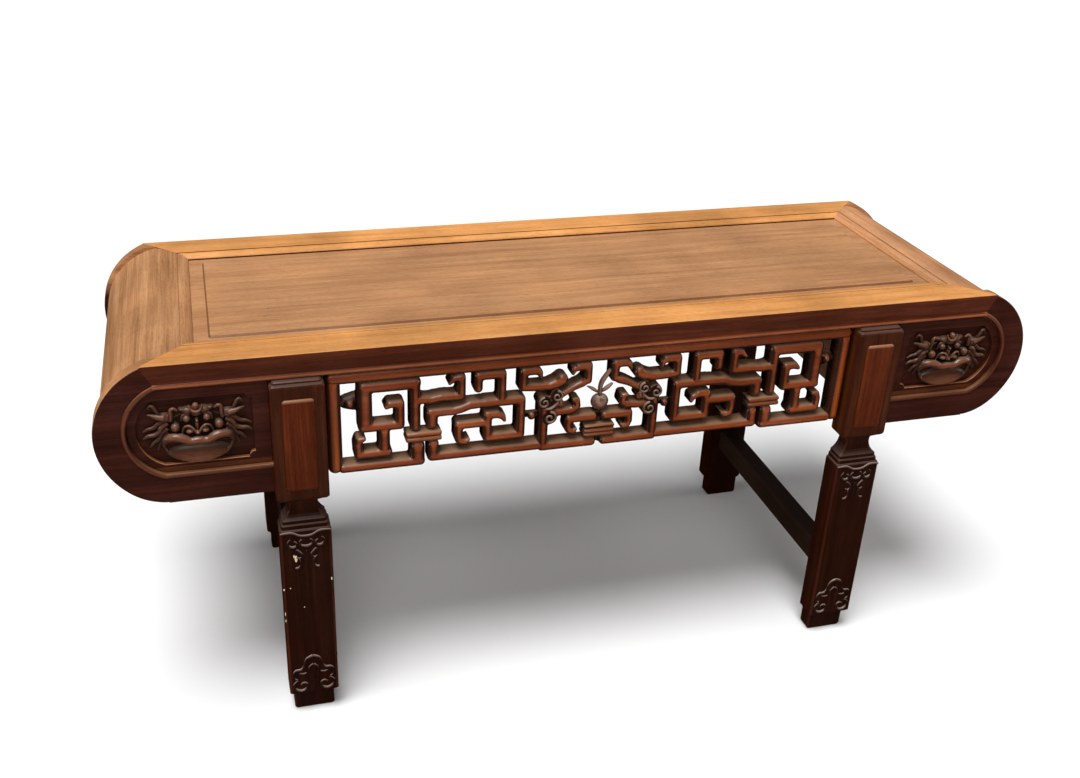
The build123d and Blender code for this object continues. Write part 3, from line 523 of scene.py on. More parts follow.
# The mask is darker towards the sunk field, from 8.5 mm down to 3 mm in front of it, and on its steep sides:
# painted shade. Its upward faces get dust and painted highlight, and its high edges and hollows wear, painted
# highlight and painted shade.
mask_finish = lacquered(
    "rosewood_mask", "X", "#5A2E1A", "#6E3E28", "#86543A", gloss=0.28, shine=0.35,
    stains_and_painted_light=[stain_and_painted_light("reach", field_y + 8.5 * MM, field_y + 3 * MM, 0.93, "#180A05"),
            stain_and_painted_light("flat", 0.995, 0.92, 0.6, "#24100A"),
            stain_and_painted_light("up", 0.4, 0.95, 0.4, "#9C7C66"), *wear_highlight_and_hollow_shade(0.08)])
mask_border_finish = lacquered("rosewood_mask_border", "X", "#46200E", "#5A2C14", "#6E3C1E", gloss=0.3)
# The rounded step round the sunk field is pale where it looks up: painted highlight.
step_highlight_finish = lacquered(
    "rosewood_step_painted_highlight", "X", *DEEP, stains_and_painted_light=[stain_and_painted_light("up", 0.05, 0.6, 0.9, "#B8784C")], gloss=0.3)
print("finishes:", len(bpy.data.materials))

# %% Give the joiner's solids their finishes
FINISHES = {
    "long_rail": rail_finish, "end_member_right": right_end_lit_stave_finish, "end_member": stave_finish,
    "scroll_stave_1_right": right_end_lit_stave_finish, "scroll_stave": stave_finish,
    "scroll_face": face_finish, "scroll_sill": face_finish, "top_panel": panel_finish,
    "stretcher": stretcher_finish, "batten": inner_finish, "scroll_floor": inner_finish,
    "inner_board": inner_finish, "leg": leg_finish, "fret": fret_finish, "mask_panel": mask_finish,
}
for name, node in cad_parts.items():
    chosen = next(finish for start, finish in FINISHES.items() if name.startswith(start))
    node.data.materials.clear()
    node.data.materials.append(chosen)

# %% [markdown]
# ## The fret apron
# The apron is cut from thick boards as square spirals and hooks, in the old dragon fret. Every bar
# is rounded over in front, its ends curl into beaks, and ties like folded ribbons clasp the bars. A
# grid and booleans would leave dead flat bars. Bars with domed fronts, melted together, get the soft
# valleys of carving. Places are in millimetres from the middle of the table and from the floor.

# %% Bars and curls of the fret
BAR_ROUND = 0.45       # rounding of a straight bar's edges, as a share of its width
BAR_ROUND_MOST = 6.4   # and the most it may be, in millimetres
BEVEL_GAP = 0.1 * MM   # corners are this much larger than domes, so that the two never cross
CURL_DOME = 4.6        # height of a curl's domed front, in millimetres
FRET_GRAIN = 1.0 * MM
FRET_SANDING = 4
HOLLOW_SHADE, DUST_AND_LIGHT = 1, 2   # numbers of finishes in a piece; its bars have number 0


def bars(bm, *places):
    """Straight bars, each from x0, x1, z0 and z1 in millimetres."""
    for x0, x1, z0, z1 in places:
        dome = min(BAR_ROUND * min(x1 - x0, z1 - z0), BAR_ROUND_MOST) * MM
        block(bm, (x0 * MM, apron_back, z0 * MM), (x1 * MM, apron_front, z1 * MM), dome + BEVEL_GAP, dome)


def curl(bm, *knots, back=0.0, step=2.0):
    """A bar with a curved course: posts with domed heads in a row. Knots are x, z and half width."""
    front = apron_front - back * MM
    for (xa, za, ra), (xb, zb, rb) in zip(knots, knots[1:]):
        count = max(1, round(math.hypot(xb - xa, zb - za) / step))
        for i in range(count + 1):
            t = i / count
            x, z, r = (a + (b - a) * t for a, b in ((xa, xb), (za, zb), (ra, rb)))
            rise = min(CURL_DOME, r)
            disc(bm, x * MM, z * MM, r * MM, apron_back, front - rise * MM, 16)
            ball(bm, x * MM, front - rise * MM, z * MM, (r * MM, rise * MM, r * MM), 12)


# %% Spiral ridges
VOLUTE_TURNS = 1.3
VOLUTE_KNOTS = 22


def volute(bm, x, z, radius, turn=1, front=apron_front, thick=1.5):
    """A spiral ridge, as on a snail's shell: it winds in, rises and gets thinner."""
    points, widths = [], []
    for i in range(VOLUTE_KNOTS):
        t = i / (VOLUTE_KNOTS - 1)
        reach = radius * (1 - 0.82 * t)
        angle = turn * (t * VOLUTE_TURNS * 2 * math.pi) + math.pi / 2
        points.append(((x + reach * math.cos(angle)) * MM, front - 0.3 * MM + 0.8 * t * MM,
                       (z + reach * math.sin(angle)) * MM))
        widths.append(thick * MM * (1 - 0.35 * t))
    rod(bm, points, widths)


# %% The square spiral beside the leg
def spiral():
    """Turns of square bars round a beak, with a hooked tail, a branch and an ear."""
    bm = bmesh.new()
    bars(bm, (188, 252, 378, 391.5), (237, 252, 335, 391), (205, 252, 335, 345.5), (205, 215, 335, 368.5))
    bars(bm, (189, 200, 331.5, 391), (220, 232, 305, 340), (218, 257, 305, 315))
    curl(bm, (210, 364, 4.5), (220, 364.2, 4.2), (223.5, 362, 2.6))
    curl(bm, (252, 311, 5), (252.5, 321, 5), (251.5, 326.4, 4.2), (246.5, 328.4, 2.2))
    curl(bm, (192, 366, 4.6), (180, 365, 4.6), (168, 366.5, 4.6), (148, 366, 4.8))
    bars(bm, (143, 152.5, 362, 391.5))
    curl(bm, (148, 387.5, 4), (155, 386.5, 3.6), (160, 382, 1.8))
    curl(bm, (267, 366, 3.5), (262, 366.5, 7.5), (254, 366.5, 10), back=9)
    ball(bm, 259 * MM, apron_front - 8 * MM, 366.5 * MM, 4.6 * MM)
    return melt(bm, FRET_GRAIN, FRET_SANDING)


# %% The hooked scroll next to it
def hook():
    """Two squared hooks, one inside the other, with a small bud towards the middle."""
    bm = bmesh.new()
    bars(bm, (171, 184, 331.5, 355), (160, 184, 345, 355), (80, 128, 350, 360), (101, 110.5, 356, 391.5))
    bars(bm, (101, 135, 381.5, 391.5), (125.5, 135, 368, 391), (80, 90, 310, 360), (80, 125, 310, 320))
    bars(bm, (115, 125, 310, 346), (106, 125, 336.5, 346), (118, 155, 328, 337.5))
    curl(bm, (166, 350, 5), (156, 349.8, 5), (147, 351.5, 5), (139, 354.5, 5), (126, 355, 5))
    curl(bm, (110, 341, 4.6), (104.5, 338.5, 3.6), (102.5, 334, 2))
    curl(bm, (150, 333, 5), (150, 320, 5), (149, 315, 4.6), (143.5, 313, 3.2), (140, 315.5, 2))
    disc(bm, 73 * MM, 334 * MM, 3.4 * MM, apron_back + 4 * MM, apron_front - 7 * MM)
    ball(bm, 73 * MM, apron_front - 6 * MM, 334 * MM, 4.4 * MM)
    block(bm, (66 * MM, apron_back + 4 * MM, 331 * MM), (84 * MM, apron_front - 9 * MM, 337 * MM))
    return melt(bm, FRET_GRAIN, FRET_SANDING)


# %% The bars along the bottom
def feet(x0, x1, z0, z1, stub):
    """A bar along the bottom with its upturned end, and its twin on the other side."""
    bm = bmesh.new()
    bars(bm, (x0, x1, z0, z1), (*stub, z0, 319))
    made = melt(bm, FRET_GRAIN, FRET_SANDING)
    keep_part(made, mirrored(made))
    return made


# %% [markdown]
# ### The middle of the apron
# Two small dragons face a peach on its stem. Each has a snail-shell cheek, an eye, a curled brow,
# a claw and a hooked tail. The heads are melted posts, and the spirals are thin rods laid on them.

# %% One dragon
CHEEK, CREST, BROW, TEMPLE = (54.5, 332), (61, 350.5), (47.5, 356.5), (54, 346)
CLAW = (43, 347)


def dragon():
    """The dragon on the right with its bars, as far as the middle of the table."""
    half = bmesh.new()
    bars(half, (55, 66, 292, 350), (2, 66, 292, 302))
    bars(half, (2, 37, 322, 331.5), (65, 88, 382, 391.5), (78.5, 88, 365, 391))
    bars(half, (10, 30, 382, 391.5), (10, 19.5, 366, 391))
    curl(half, (84, 369, 4.6), (70, 367.8, 4.8), (56, 367.5, 5), (47, 370, 6), (42, 373.5, 6.6))
    curl(half, (14.5, 372, 4.6), (20, 367.5, 4.4), (29, 364, 3.8), (38, 359, 3.4), (44, 355, 3.2))
    curl(half, (26, 386, 4), (30, 385, 3.4), (31.5, 380.5, 2.2))
    curl(half, (70, 386, 4.2), (66.5, 384.5, 3.4), (65.5, 379.5, 2.2))
    curl(half, (33, 327, 4.8), (33.5, 318, 4.6), (32, 313.5, 4), (27, 312, 2.6), (25, 315, 1.6))
    curl(half, (52, 336, 4.6), (40, 336.5, 4.4), (30, 337.5, 4.4), (25, 341.5, 4.6), (25.5, 347.5, 4.2),
         (29, 349.5, 2.2))
    for (x, z), r in ((CHEEK, 8.6), (CREST, 7.4), (BROW, 7.4), (TEMPLE, 7.0), (CLAW, 3.8)):
        disc(half, x * MM, z * MM, r * MM, apron_back, apron_front - 1.6 * MM)
    curl(half, (2, 297, 4), (2, 326, 2.5), back=7)
    return half


# %% Its snail shells, claw and eye
def shells(laid, side):
    """Spirals laid on a dragon's head, and the lid and ball of its eye."""
    volute(laid, side * CHEEK[0], CHEEK[1], 7.4, side, thick=1.5)
    volute(laid, side * CREST[0], CREST[1], 6.2, -side, thick=1.3)
    volute(laid, side * BROW[0], BROW[1], 6.2, side, thick=1.3)
    lid = ((60, 343.5), (55, 342), (50, 345.5), (46, 350))
    rod(laid, [(side * x * MM, apron_front - 0.6 * MM, z * MM) for x, z in lid],
        [1.1 * MM, 1.5 * MM, 1.5 * MM, 0.9 * MM])
    ball(laid, side * 43.5 * MM, apron_front - 1.5 * MM, 349.5 * MM, (2.2 * MM, 1.6 * MM, 4 * MM))


# %% The peach
def peach(laid):
    """A peach with a small spiral on it, its stem and two leaves."""
    ball(laid, 0.5 * MM, apron_front - 6.5 * MM, 343 * MM, (9.6 * MM, 6.6 * MM, 9.2 * MM), 28)
    volute(laid, 1.5, 348, 2.6, 1, apron_front + 0.2 * MM, 0.8)
    stem = ((0, 0, 350, 2.2), (-1, 0, 362, 2.4), (4, 0, 372, 3.2), (10, 0, 380, 2.0))
    left_leaf = ((-3, 0, 355, 1.2), (-8, 1, 360, 3.0), (-15, 0, 363, 0.5))
    right_leaf = ((1, 0, 355, 1.2), (7, 1, 359, 3.4), (13, 0, 364, 1.2))
    for knots in (stem, left_leaf, right_leaf):
        rod(laid, [(x * MM, apron_front + (y - 5) * MM, z * MM) for x, y, z, r in knots],
            [knot[3] * MM for knot in knots])


# %% The whole middle
def centre():
    """Both dragons melted into one board, with painted shade in the hollows of the shells, and the fine
    carving laid on.
    """
    bm = bmesh.new()
    half = dragon()
    keep_part(bm, mirrored(half))
    keep_part(bm, half)
    curl(bm, (0, 331, 2.4), (0, 338, 2.4), back=6)
    made = melt(bm, FRET_GRAIN, FRET_SANDING)
    hollows = ((CHEEK, 8.2), (CREST, 7.0), (BROW, 7.0), (TEMPLE, 6.0))
    # Fronts in the shells' hollows get the nearly black finish: painted shade.
    for face in made.faces:
        spot = face.calc_center_median() / MM
        if face.normal.y > 0.3 and any(math.hypot(abs(spot.x) - x, spot.z - z) < r for (x, z), r in hollows):
            face.material_index = HOLLOW_SHADE
    laid = bmesh.new()
    for side in (-1, 1):
        shells(laid, side)
    peach(laid)
    paint(laid, DUST_AND_LIGHT)
    keep_part(made, laid)
    return made


# %% [markdown]
# ### Ties, stiles and the head
# Ties like folded ribbons clasp the bars where two pieces meet. A cloth simulation would be soft,
# but these folds are cut in wood, so each is a bevelled block. The stiles and the head frame the
# apron, and they are bars like the rest.

# %% Ties that clasp the bars
def ribbon(bm, x0, x1, rows, front):
    """A tie: folds of ribbon laid over the bars, rounded at the ends."""
    for z0, z1 in rows:
        part = bmesh.new()
        block(part, (x0 * MM, apron_back + MM, z0 * MM), (x1 * MM, front, z1 * MM))
        round_over(part, part.edges[:], 2.2 * MM, 3)
        keep_part(bm, part)


def ties():
    """The two ties beside the spirals."""
    bm = bmesh.new()
    for side in (-1, 1):
        ribbon(bm, *sorted((side * 168, side * 205)), ((320.2, 325.4), (325.7, 330.9)),
               apron_front + 1.5 * MM)
    return bm


def centre_tie():
    """The tie under the peach."""
    bm = bmesh.new()
    ribbon(bm, -17, 17, ((304.5, 309.2), (309.4, 314), (314.2, 318.5)), apron_front + 1.2 * MM)
    return bm


# %% Stiles and head
def stile():
    """The upright beside the leg."""
    bm = bmesh.new()
    bars(bm, (stile_low.x / MM, apron_high.x / MM, stile_low.z / MM, rail_bottom / MM - 9))
    return melt(bm, FRET_GRAIN, FRET_SANDING)


def head():
    """The bar under the long rail."""
    bm = bmesh.new()
    block(bm, (apron_low.x, apron_back, rail_bottom - 15.5 * MM),
          (apron_high.x, apron_front, rail_bottom - 2 * MM), 6 * MM, 5.6 * MM)
    block(bm, (apron_low.x - 9 * MM, apron_back, rail_bottom - 11 * MM),
          (apron_high.x + 9 * MM, apron_front - 6.5 * MM, rail_bottom - 0.4 * MM))
    return melt(bm, FRET_GRAIN, FRET_SANDING)


# %% Carve the aprons
middle = centre()
keep_part(middle, centre_tie())
apron_whole = {
    "fret_head": head(), "fret_centre": middle, "fret_ties": ties(),
    "fret_spiral_feet": feet(184.5, 273, 291, 301, (184.5, 200)),
    "fret_hook_feet": feet(60, 182.5, 294, 304, (170, 182.5)),
}
apron_sided = {"fret_stile": stile(), "fret_spiral": spiral(), "fret_hook": hook()}
for depth, y_side in DEPTHS:
    for name, bm in apron_whole.items():
        finish(bm, f"carved_{name}_{depth}", [fret_finish, fret_hollow_shade_finish, fret_dust_and_light_finish],
               "fret_wood", [f"{name}_{depth}"], 1, y_side)
    for name, bm in apron_sided.items():
        wood = fret_upright_finish if name == "fret_stile" else fret_finish
        for end, x_side in SIDES:
            finish(bm, f"carved_{name}_{depth}_{end}", [wood], "fret_wood",
                   [f"{name}_{depth}_{end}"], x_side, y_side)
faces = sum(len(bm.faces) for bm in (*apron_whole.values(), *apron_sided.values()))
print("apron faces, each piece counted once:", faces)

# %% [markdown]
# ## Lion mask panels
# A board fills the opening of each scroll. Its middle is sunk, with a soft round step and two
# notched corners, and a lion's mask is left standing in it. A disc squared off on one side gives the
# outline, and a boolean sinks the field, because that is one clean cut. The mask is flesh over bone,
# so it is built as a carver sees it: eggs for muzzle, cheeks and eyes, rods for lips, ears and mane.

# %% Outlines of the opening and the sunk field, in millimetres
WINDOW_RADIUS = 48.3   # the round end of the opening
WINDOW_HALF = 45.3     # half its height
FIELD_RADIUS = 40.0    # the round end of the sunk field
FIELD_DOWN = 36.5      # its lower edge, below the middle of the opening
FIELD_UP = 32.5        # its upper edge
FIELD_GAP = 16.0       # from the leg to the field
NOTCH = 6.0            # radius of the notched corners
STEP_ROUND = 3.4       # rounding of the step down into the field
BORDER_GAP = 3.0       # from the field down to the paler lower border
window_x = face_high.x / MM - 79.0     # middle of the round end
window_z = rail_bottom / MM - 45.5
panel_front = face_y - 2.5 * MM
panel_back = face_y - 12.0 * MM
BOARD, RELIEF, STEP_HIGHLIGHT, BORDER = range(4)   # numbers of the panel's finishes


def saw(bm, place, way):
    """Saws off all that lies beyond a place in millimetres, in one direction."""
    everything = bm.verts[:] + bm.edges[:] + bm.faces[:]
    cut = bmesh.ops.bisect_plane(bm, geom=everything, plane_co=Vector(place) * MM, plane_no=way,
                                 clear_outer=True)
    rim = [g for g in cut["geom_cut"] if isinstance(g, bmesh.types.BMEdge)]
    bmesh.ops.holes_fill(bm, edges=rim)


def squared_disc(radius, inner_x, z0, z1, y0, y1):
    """A thick disc, squared off towards the leg and cut flat above and below."""
    bm = bmesh.new()
    disc(bm, window_x * MM, window_z * MM, radius * MM, y0, y1, 128)
    for vert in bm.verts:
        if vert.co.x < window_x * MM - HAIR:
            vert.co.x = inner_x * MM
    for level, way in ((z0, -1), (z1, 1)):
        saw(bm, (0, 0, level), (0, 0, way))
    bmesh.ops.remove_doubles(bm, verts=bm.verts, dist=HAIR)
    bmesh.ops.recalc_face_normals(bm, faces=bm.faces)
    return bm


def cut_away(bm, cutter):
    """Takes the cutter's shape out of a board."""
    board, tool = as_object(bm, "board"), as_object(cutter, "cutter")
    cut = board.modifiers.new("cut", "BOOLEAN")
    cut.operation = "DIFFERENCE"
    cut.solver = "EXACT"
    cut.object = tool
    return modified(board, tool)


# %% The panel with its sunk field
def sunk_panel():
    """The board, its sunk field, the soft step round it and the paler border below."""
    leg_side = leg_high.x / MM
    board = squared_disc(WINDOW_RADIUS, leg_side + 0.1, window_z - WINDOW_HALF, window_z + WINDOW_HALF,
                         panel_back, panel_front)
    inner_x = leg_side + FIELD_GAP
    low, high = window_z - FIELD_DOWN, window_z + FIELD_UP
    cutter = squared_disc(FIELD_RADIUS, inner_x, low, high, field_y, panel_front + 5 * MM)
    posts = bmesh.new()
    for z in (low, high):
        disc(posts, inner_x * MM, z * MM, NOTCH * MM, field_y - 5 * MM, panel_front + 9 * MM, 40)
    board = cut_away(board, cut_away(cutter, posts))
    rim = [e for e in board.edges if all(abs(v.co.y - panel_front) < HAIR for v in e.verts)
           and e.is_manifold and e.calc_face_angle(0) > 0.8]
    round_over(board, rim, STEP_ROUND * MM, 4, STEP_HIGHLIGHT, clamp=True)
    border_top = (low - BORDER_GAP) * MM
    everything = board.verts[:] + board.edges[:] + board.faces[:]
    bmesh.ops.bisect_plane(board, geom=everything, plane_co=(0, 0, border_top), plane_no=(0, 0, 1))
    for face in board.faces:
        below = face.normal.y > 0.99 and face.calc_center_median().z < border_top
        if below and face.material_index == BOARD:
            face.material_index = BORDER
    return board


# %% Forms of the lion
MASK_X = 404.6         # middle of the mask
MASK_GRAIN = 0.6 * MM
MASK_SANDING = 2


def egg(bm, x, z, wide, tall, rise):
    """An egg that lies half sunk in the field."""
    ball(bm, x * MM, field_y, z * MM, (wide * MM, rise * MM, tall * MM), 20)


def strand(bm, *knots):
    """A strand of flesh or hair. Knots are x, height over the field, z and half width."""
    rod(bm, [(x * MM, field_y + y * MM, z * MM) for x, y, z, r in knots], [knot[3] * MM for knot in knots])


# %% Muzzle, lips and nose
JAW_WIDE, JAW_TALL, JAW_TOP = 32, 23, 348.5


def muzzle():
    """The middle of the face: a faceted jaw, curled lips, a nose and a knot on the brow."""
    bm = bmesh.new()
    egg(bm, MASK_X, 365, 27, 14, 1.8)
    jaw = bmesh.new()
    ball(jaw, MASK_X * MM, field_y, 328 * MM, (37 * MM, 7.4 * MM, 17.5 * MM), 40)
    for turn in range(-80, 81, 16):
        out, down = math.sin(math.radians(turn)), math.cos(math.radians(turn))
        saw(jaw, (MASK_X + JAW_WIDE * out, 0, JAW_TOP - JAW_TALL * down),
            Vector((out / JAW_WIDE, 0, -down / JAW_TALL)).normalized())
    keep_part(bm, jaw)
    strand(bm, (437.2, 3.0, 345, 2.0), (435.5, 3.6, 351, 3.4), (428, 5.6, 354.6, 4.4), (420, 7, 353.6, 4.6),
           (412, 7.6, 349, 4.0), (MASK_X, 8.0, 350.8, 4.2), (397, 7.6, 348.8, 4.0), (389, 7, 353.4, 4.6),
           (381, 5.6, 354.6, 4.4), (373.7, 3.6, 351, 3.4), (372, 3.0, 345, 2.0))
    strand(bm, (437.2, 2.6, 346, 1.5), (434.5, 3.2, 337, 1.3), (426, 4.4, 330, 1.2), (415, 5.4, 326.8, 1.2),
           (MASK_X, 5.8, 326.2, 1.2), (394, 5.4, 326.8, 1.2), (383, 4.4, 330, 1.2), (374.7, 3.2, 337, 1.3),
           (372, 2.6, 346, 1.5))
    egg(bm, MASK_X, 364.5, 2.8, 7, 7.4)
    egg(bm, MASK_X, 358, 4.6, 2.6, 9.6)
    egg(bm, MASK_X, 370.4, 2.3, 2.3, 8.6)
    for side in (-1, 1):
        egg(bm, MASK_X + side * 7.6, 380.2, 7.4, 4.2, 6.0)
        egg(bm, MASK_X + side * 13.4, 381.4, 3.4, 2.4, 4.6)
    egg(bm, MASK_X, 377.6, 6.4, 4.4, 6.8)
    strand(bm, (398.4, 5.4, 387.5, 0.9), (399.4, 6.6, 382.4, 1.3), (MASK_X, 7.4, 380.0, 1.5),
           (409.8, 6.6, 382.4, 1.3), (410.8, 5.4, 387.5, 0.9))
    ball(bm, MASK_X * MM, field_y + 5.6 * MM, 386.2 * MM, 3.4 * MM)
    return bm


# %% Eye, brow, ear and mane of one side
MANE = (
    (3.0, ((431, 369, 2.6), (437.5, 366, 2.8), (439.5, 359.6, 2.4), (445, 356.6, 2.4), (451, 357.2, 2.0),
           (455, 353.6, 0.9))),
    (2.6, ((431.5, 363.4, 2.4), (438, 359.4, 2.4), (440, 352.4, 2.1), (445.6, 349.4, 1.9),
           (449.4, 344.4, 0.9))),
    (2.6, ((432, 372, 2.0), (440, 369.6, 2.2), (444, 364.6, 1.9), (450.4, 364.2, 1.6), (455, 361, 0.8))),
    (2.2, ((432, 359, 2.0), (437.6, 354, 2.0), (440.6, 346.4, 1.7), (442.6, 340.4, 0.8))),
)


def half_face():
    """The right side of the face, from its eye to the ends of its mane."""
    half = bmesh.new()
    for x, z, r, rise in ((413.9, 372.6, 3.5, 6.4), (424.8, 364, 4.6, 6.0)):
        ball(half, x * MM, field_y + (rise - r / 2) * MM, z * MM, r * MM)
    ball(half, 411.6 * MM, field_y + 5.8 * MM, 360 * MM, (4.0 * MM, 4.0 * MM, 2.4 * MM))
    strand(half, (418.6, 4.6, 357.6, 0.9), (418.2, 6.0, 364, 1.1), (412.5, 7.8, 367, 1.3),
           (408.0, 8.6, 363.6, 1.2), (406.4, 9.0, 360, 0.9))
    strand(half, (418.4, 3.4, 369.4, 0.8), (419.4, 4.2, 374.4, 1.1), (415.6, 4.6, 378, 1.1),
           (410.6, 4.4, 376.8, 0.8))
    ball(half, 434 * MM, field_y + 0.8 * MM, 374 * MM, (7.4 * MM, 5.2 * MM, 5.6 * MM))
    strand(half, (434, 3.4, 375, 3.6), (441, 3.6, 376, 2.8), (445.5, 3.2, 378.5, 1.7), (449.5, 2.6, 379, 0.8))
    strand(half, (428.6, 3.6, 371, 2.0), (427.4, 4.6, 378, 2.2), (428.4, 5.2, 383.4, 1.9),
           (424.2, 5.4, 385.4, 1.6), (421.4, 5.2, 382.2, 1.2))
    strand(half, (438, 2.6, 378.6, 1.6), (441, 3.4, 383, 1.8), (443, 3.6, 388.4, 1.6),
           (447, 3.2, 388.6, 1.3), (447.6, 2.8, 385.2, 1.0))
    for rise, knots in MANE:
        strand(half, *((x, rise, z, r) for x, z, r in knots))
    return half


# %% Carve the masks
def lion():
    """The whole mask in one skin, cut off just behind the field."""
    bm = muzzle()
    half = half_face()
    other = mirrored(half, middle=MASK_X * MM)
    keep_part(bm, half)
    keep_part(bm, other)
    for vert in bm.verts:
        vert.co.y = max(vert.co.y, field_y - 2 * MM)
    return melt(bm, MASK_GRAIN, MASK_SANDING)


mask_board = sunk_panel()
mask_relief = lion()
paint(mask_relief, RELIEF)
keep_part(mask_board, mask_relief)
print("mask panel faces:", len(mask_board.faces))
for depth, y_side in DEPTHS:
    for end, x_side in SIDES:
        finish(mask_board, f"carved_mask_panel_{depth}_{end}",
               [face_finish, mask_finish, step_highlight_finish, mask_border_finish], "mask_wood",
               [f"mask_panel_{depth}_{end}"], x_side, y_side)

# %% [markdown]
# ## Carved legs
# Each leg is one slab: a moulded foot, a long lower leg with a cloud-head carved at each end, a
# waisted neck of small steps, and a plain block with a raised field. The slab is lofted upwards: one
# rounded section is extruded from level to level and scaled as it goes, which follows the moulding
# exactly. The cloud-heads are low ridges with curled ends, so they are thin rods sunk halfway in.

# %% Levels of the leg: height, half width, and how far the face stands back
LEG_LEVELS = (
    (0.0, 18.5, 9.5), (1.0, 20.3, 8.2), (3.0, 21.5, 7.5), (24.6, 21.5, 7.5), (25.4, 23.0, 4.5),
    (26.4, 24.9, 1.5), (28.1, 26.2, 0.0), (236.0, 26.2, 0.0), (237.8, 25.9, 0.3), (238.9, 25.1, 1.1),
    (239.4, 24.2, 2.2), (243.4, 23.8, 2.5), (244.2, 23.3, 3.2), (244.5, 22.6, 4.2), (248.0, 22.4, 4.4),
    (248.9, 21.6, 5.2), (251.0, 19.4, 6.4), (254.0, 17.1, 7.4), (258.0, 15.2, 8.0), (262.0, 14.3, 8.2),
    (266.0, 14.3, 8.2), (268.6, 15.0, 7.8), (269.8, 16.6, 7.0), (270.4, 18.6, 6.0), (271.4, 20.4, 4.8),
    (272.7, 21.3, 3.9), (273.0, 22.8, 2.8), (274.0, 24.8, 1.2), (275.4, 25.9, 0.4), (277.2, 26.2, 0.0),
    (399.8, 26.2, 0.0), (401.6, 25.7, 0.5), (402.7, 24.7, 1.6), (403.1, 23.7, 3.6), (404.6, 23.5, 3.9),
    (405.7, 22.4, 5.2), (406.5, 20.2, 8.8),
)
LEG_CORNER = 0.11      # rounding of the upright edges, as a share of the half width
CARVING, BARE, FIELD, EDGE = 1, 2, 3, 4   # numbers of finishes; the slab has number 0


def slab():
    """The leg's slab, extruded and scaled from level to level."""
    bm = bmesh.new()
    bmesh.ops.create_grid(bm, x_segments=1, y_segments=1, size=1)
    front = [v for v in bm.verts if v.co.y > 0]
    bmesh.ops.bevel(bm, geom=front, offset=LEG_CORNER * 1.4, offset_type="OFFSET", segments=4, profile=0.5,
                    affect="VERTICES", material=-1)
    bmesh.ops.translate(bm, vec=(0, 1, 0), verts=bm.verts)
    bmesh.ops.scale(bm, vec=(1, 0.5, 1), verts=bm.verts)
    bmesh.ops.reverse_faces(bm, faces=bm.faces)
    cap = bm.faces[:]
    was = Matrix.Identity(4)
    for count, (z, half, inset) in enumerate(LEG_LEVELS):
        deep = leg_front - inset * MM - leg_back
        now = Matrix.Translation((leg_centre, leg_back, z * MM)) @ Matrix.Diagonal((half * MM, deep, 1, 1))
        if count:
            grown = bmesh.ops.extrude_face_region(bm, geom=cap)
            cap = [g for g in grown["geom"] if isinstance(g, bmesh.types.BMFace)]
        moved = {v for face in cap for v in face.verts}
        bmesh.ops.transform(bm, matrix=now @ was.inverted(), verts=list(moved))
        was = now
    bmesh.ops.recalc_face_normals(bm, faces=bm.faces)
    for face in bm.faces:
        if abs(face.normal.x) > 0.3 and face.normal.y > 0.3:
            face.material_index = EDGE
    return bm


# %% Raised field and cloud-heads
FIELD_HALF = 15.7 * MM            # half the width of the raised field
FIELD_Z = (286.6 * MM, 388 * MM)  # its lower and upper edge
RIDGE_FULL = 1.15                 # the ridges are cut this much fuller than their knots say


def ridge(bm, *knots, mirror=True):
    """A carved line on the leg's face; knots are x from the leg's middle, z and half width."""
    line = bmesh.new()
    for side in ((1, -1) if mirror else (1,)):
        points = [(leg_centre + side * x * MM, leg_front, z * MM) for x, z, r in knots]
        rod(line, points, [r * RIDGE_FULL * MM for x, z, r in knots], 5, 2)
    paint(line, CARVING)
    keep_part(bm, line)


def carved_leg():
    """The slab with its raised field, and the ridges of the upper and lower cloud-head."""
    bm = slab()
    field = bmesh.new()
    block(field, (leg_centre - FIELD_HALF, leg_front - MM, FIELD_Z[0]),
          (leg_centre + FIELD_HALF, leg_front + FIELD_PROUD, FIELD_Z[1]), 3.6 * MM, 3.2 * MM)
    paint(field, FIELD)
    keep_part(bm, field)
    ridge(bm, (25.5, 236.5, 0.9), (17, 237.5, 1.3), (12, 236, 1.3), (6, 231.8, 1.3), (0, 231.8, 1.3))
    ridge(bm, (0, 219.5, 1.5), (5, 220, 1.4), (7.5, 225, 1.0), (4, 228, 0.8))
    ridge(bm, (16, 229, 0.6), (19.5, 225, 1.0), (16.5, 219.5, 1.4), (10.5, 219.5, 1.4), (8.8, 224, 1.1),
          (12, 226.4, 0.8))
    ridge(bm, (10, 216, 1.0), (5.5, 211, 1.4), (4.5, 206.5, 1.4), (8.5, 204, 1.0), (10.5, 207, 0.6))
    ridge(bm, (7, 203, 0.9), (5.5, 198, 1.1), (9, 192.5, 1.4), (12.5, 193.5, 0.9))
    ridge(bm, (0, 214, 0.6), (0, 200, 1.0), (0, 188, 0.4), mirror=False)
    ridge(bm, (0, 77.4, 1.5), (5.5, 76, 1.4), (8.6, 70, 1.2), (9.6, 64, 1.2), (13, 59.6, 1.3),
          (19, 60.4, 1.2), (22, 54, 1.1), (21, 47, 1.0), (17.5, 47, 0.8))
    ridge(bm, (17, 45.5, 0.8), (22, 42, 1.1), (21.5, 34.5, 1.4), (14.5, 30.4, 1.6), (8, 33, 1.4),
          (7, 39.5, 1.2), (11.5, 43, 1.0), (14, 39.5, 0.8))
    ridge(bm, (0, 66, 1.1), (4.6, 63, 1.1), (5, 56, 1.0), (3, 48, 1.0), (4.4, 40, 1.0), (3, 34, 0.8))
    ridge(bm, (7.5, 55, 0.7), (12.5, 53, 1.1), (15, 55.6, 0.7))
    return bm


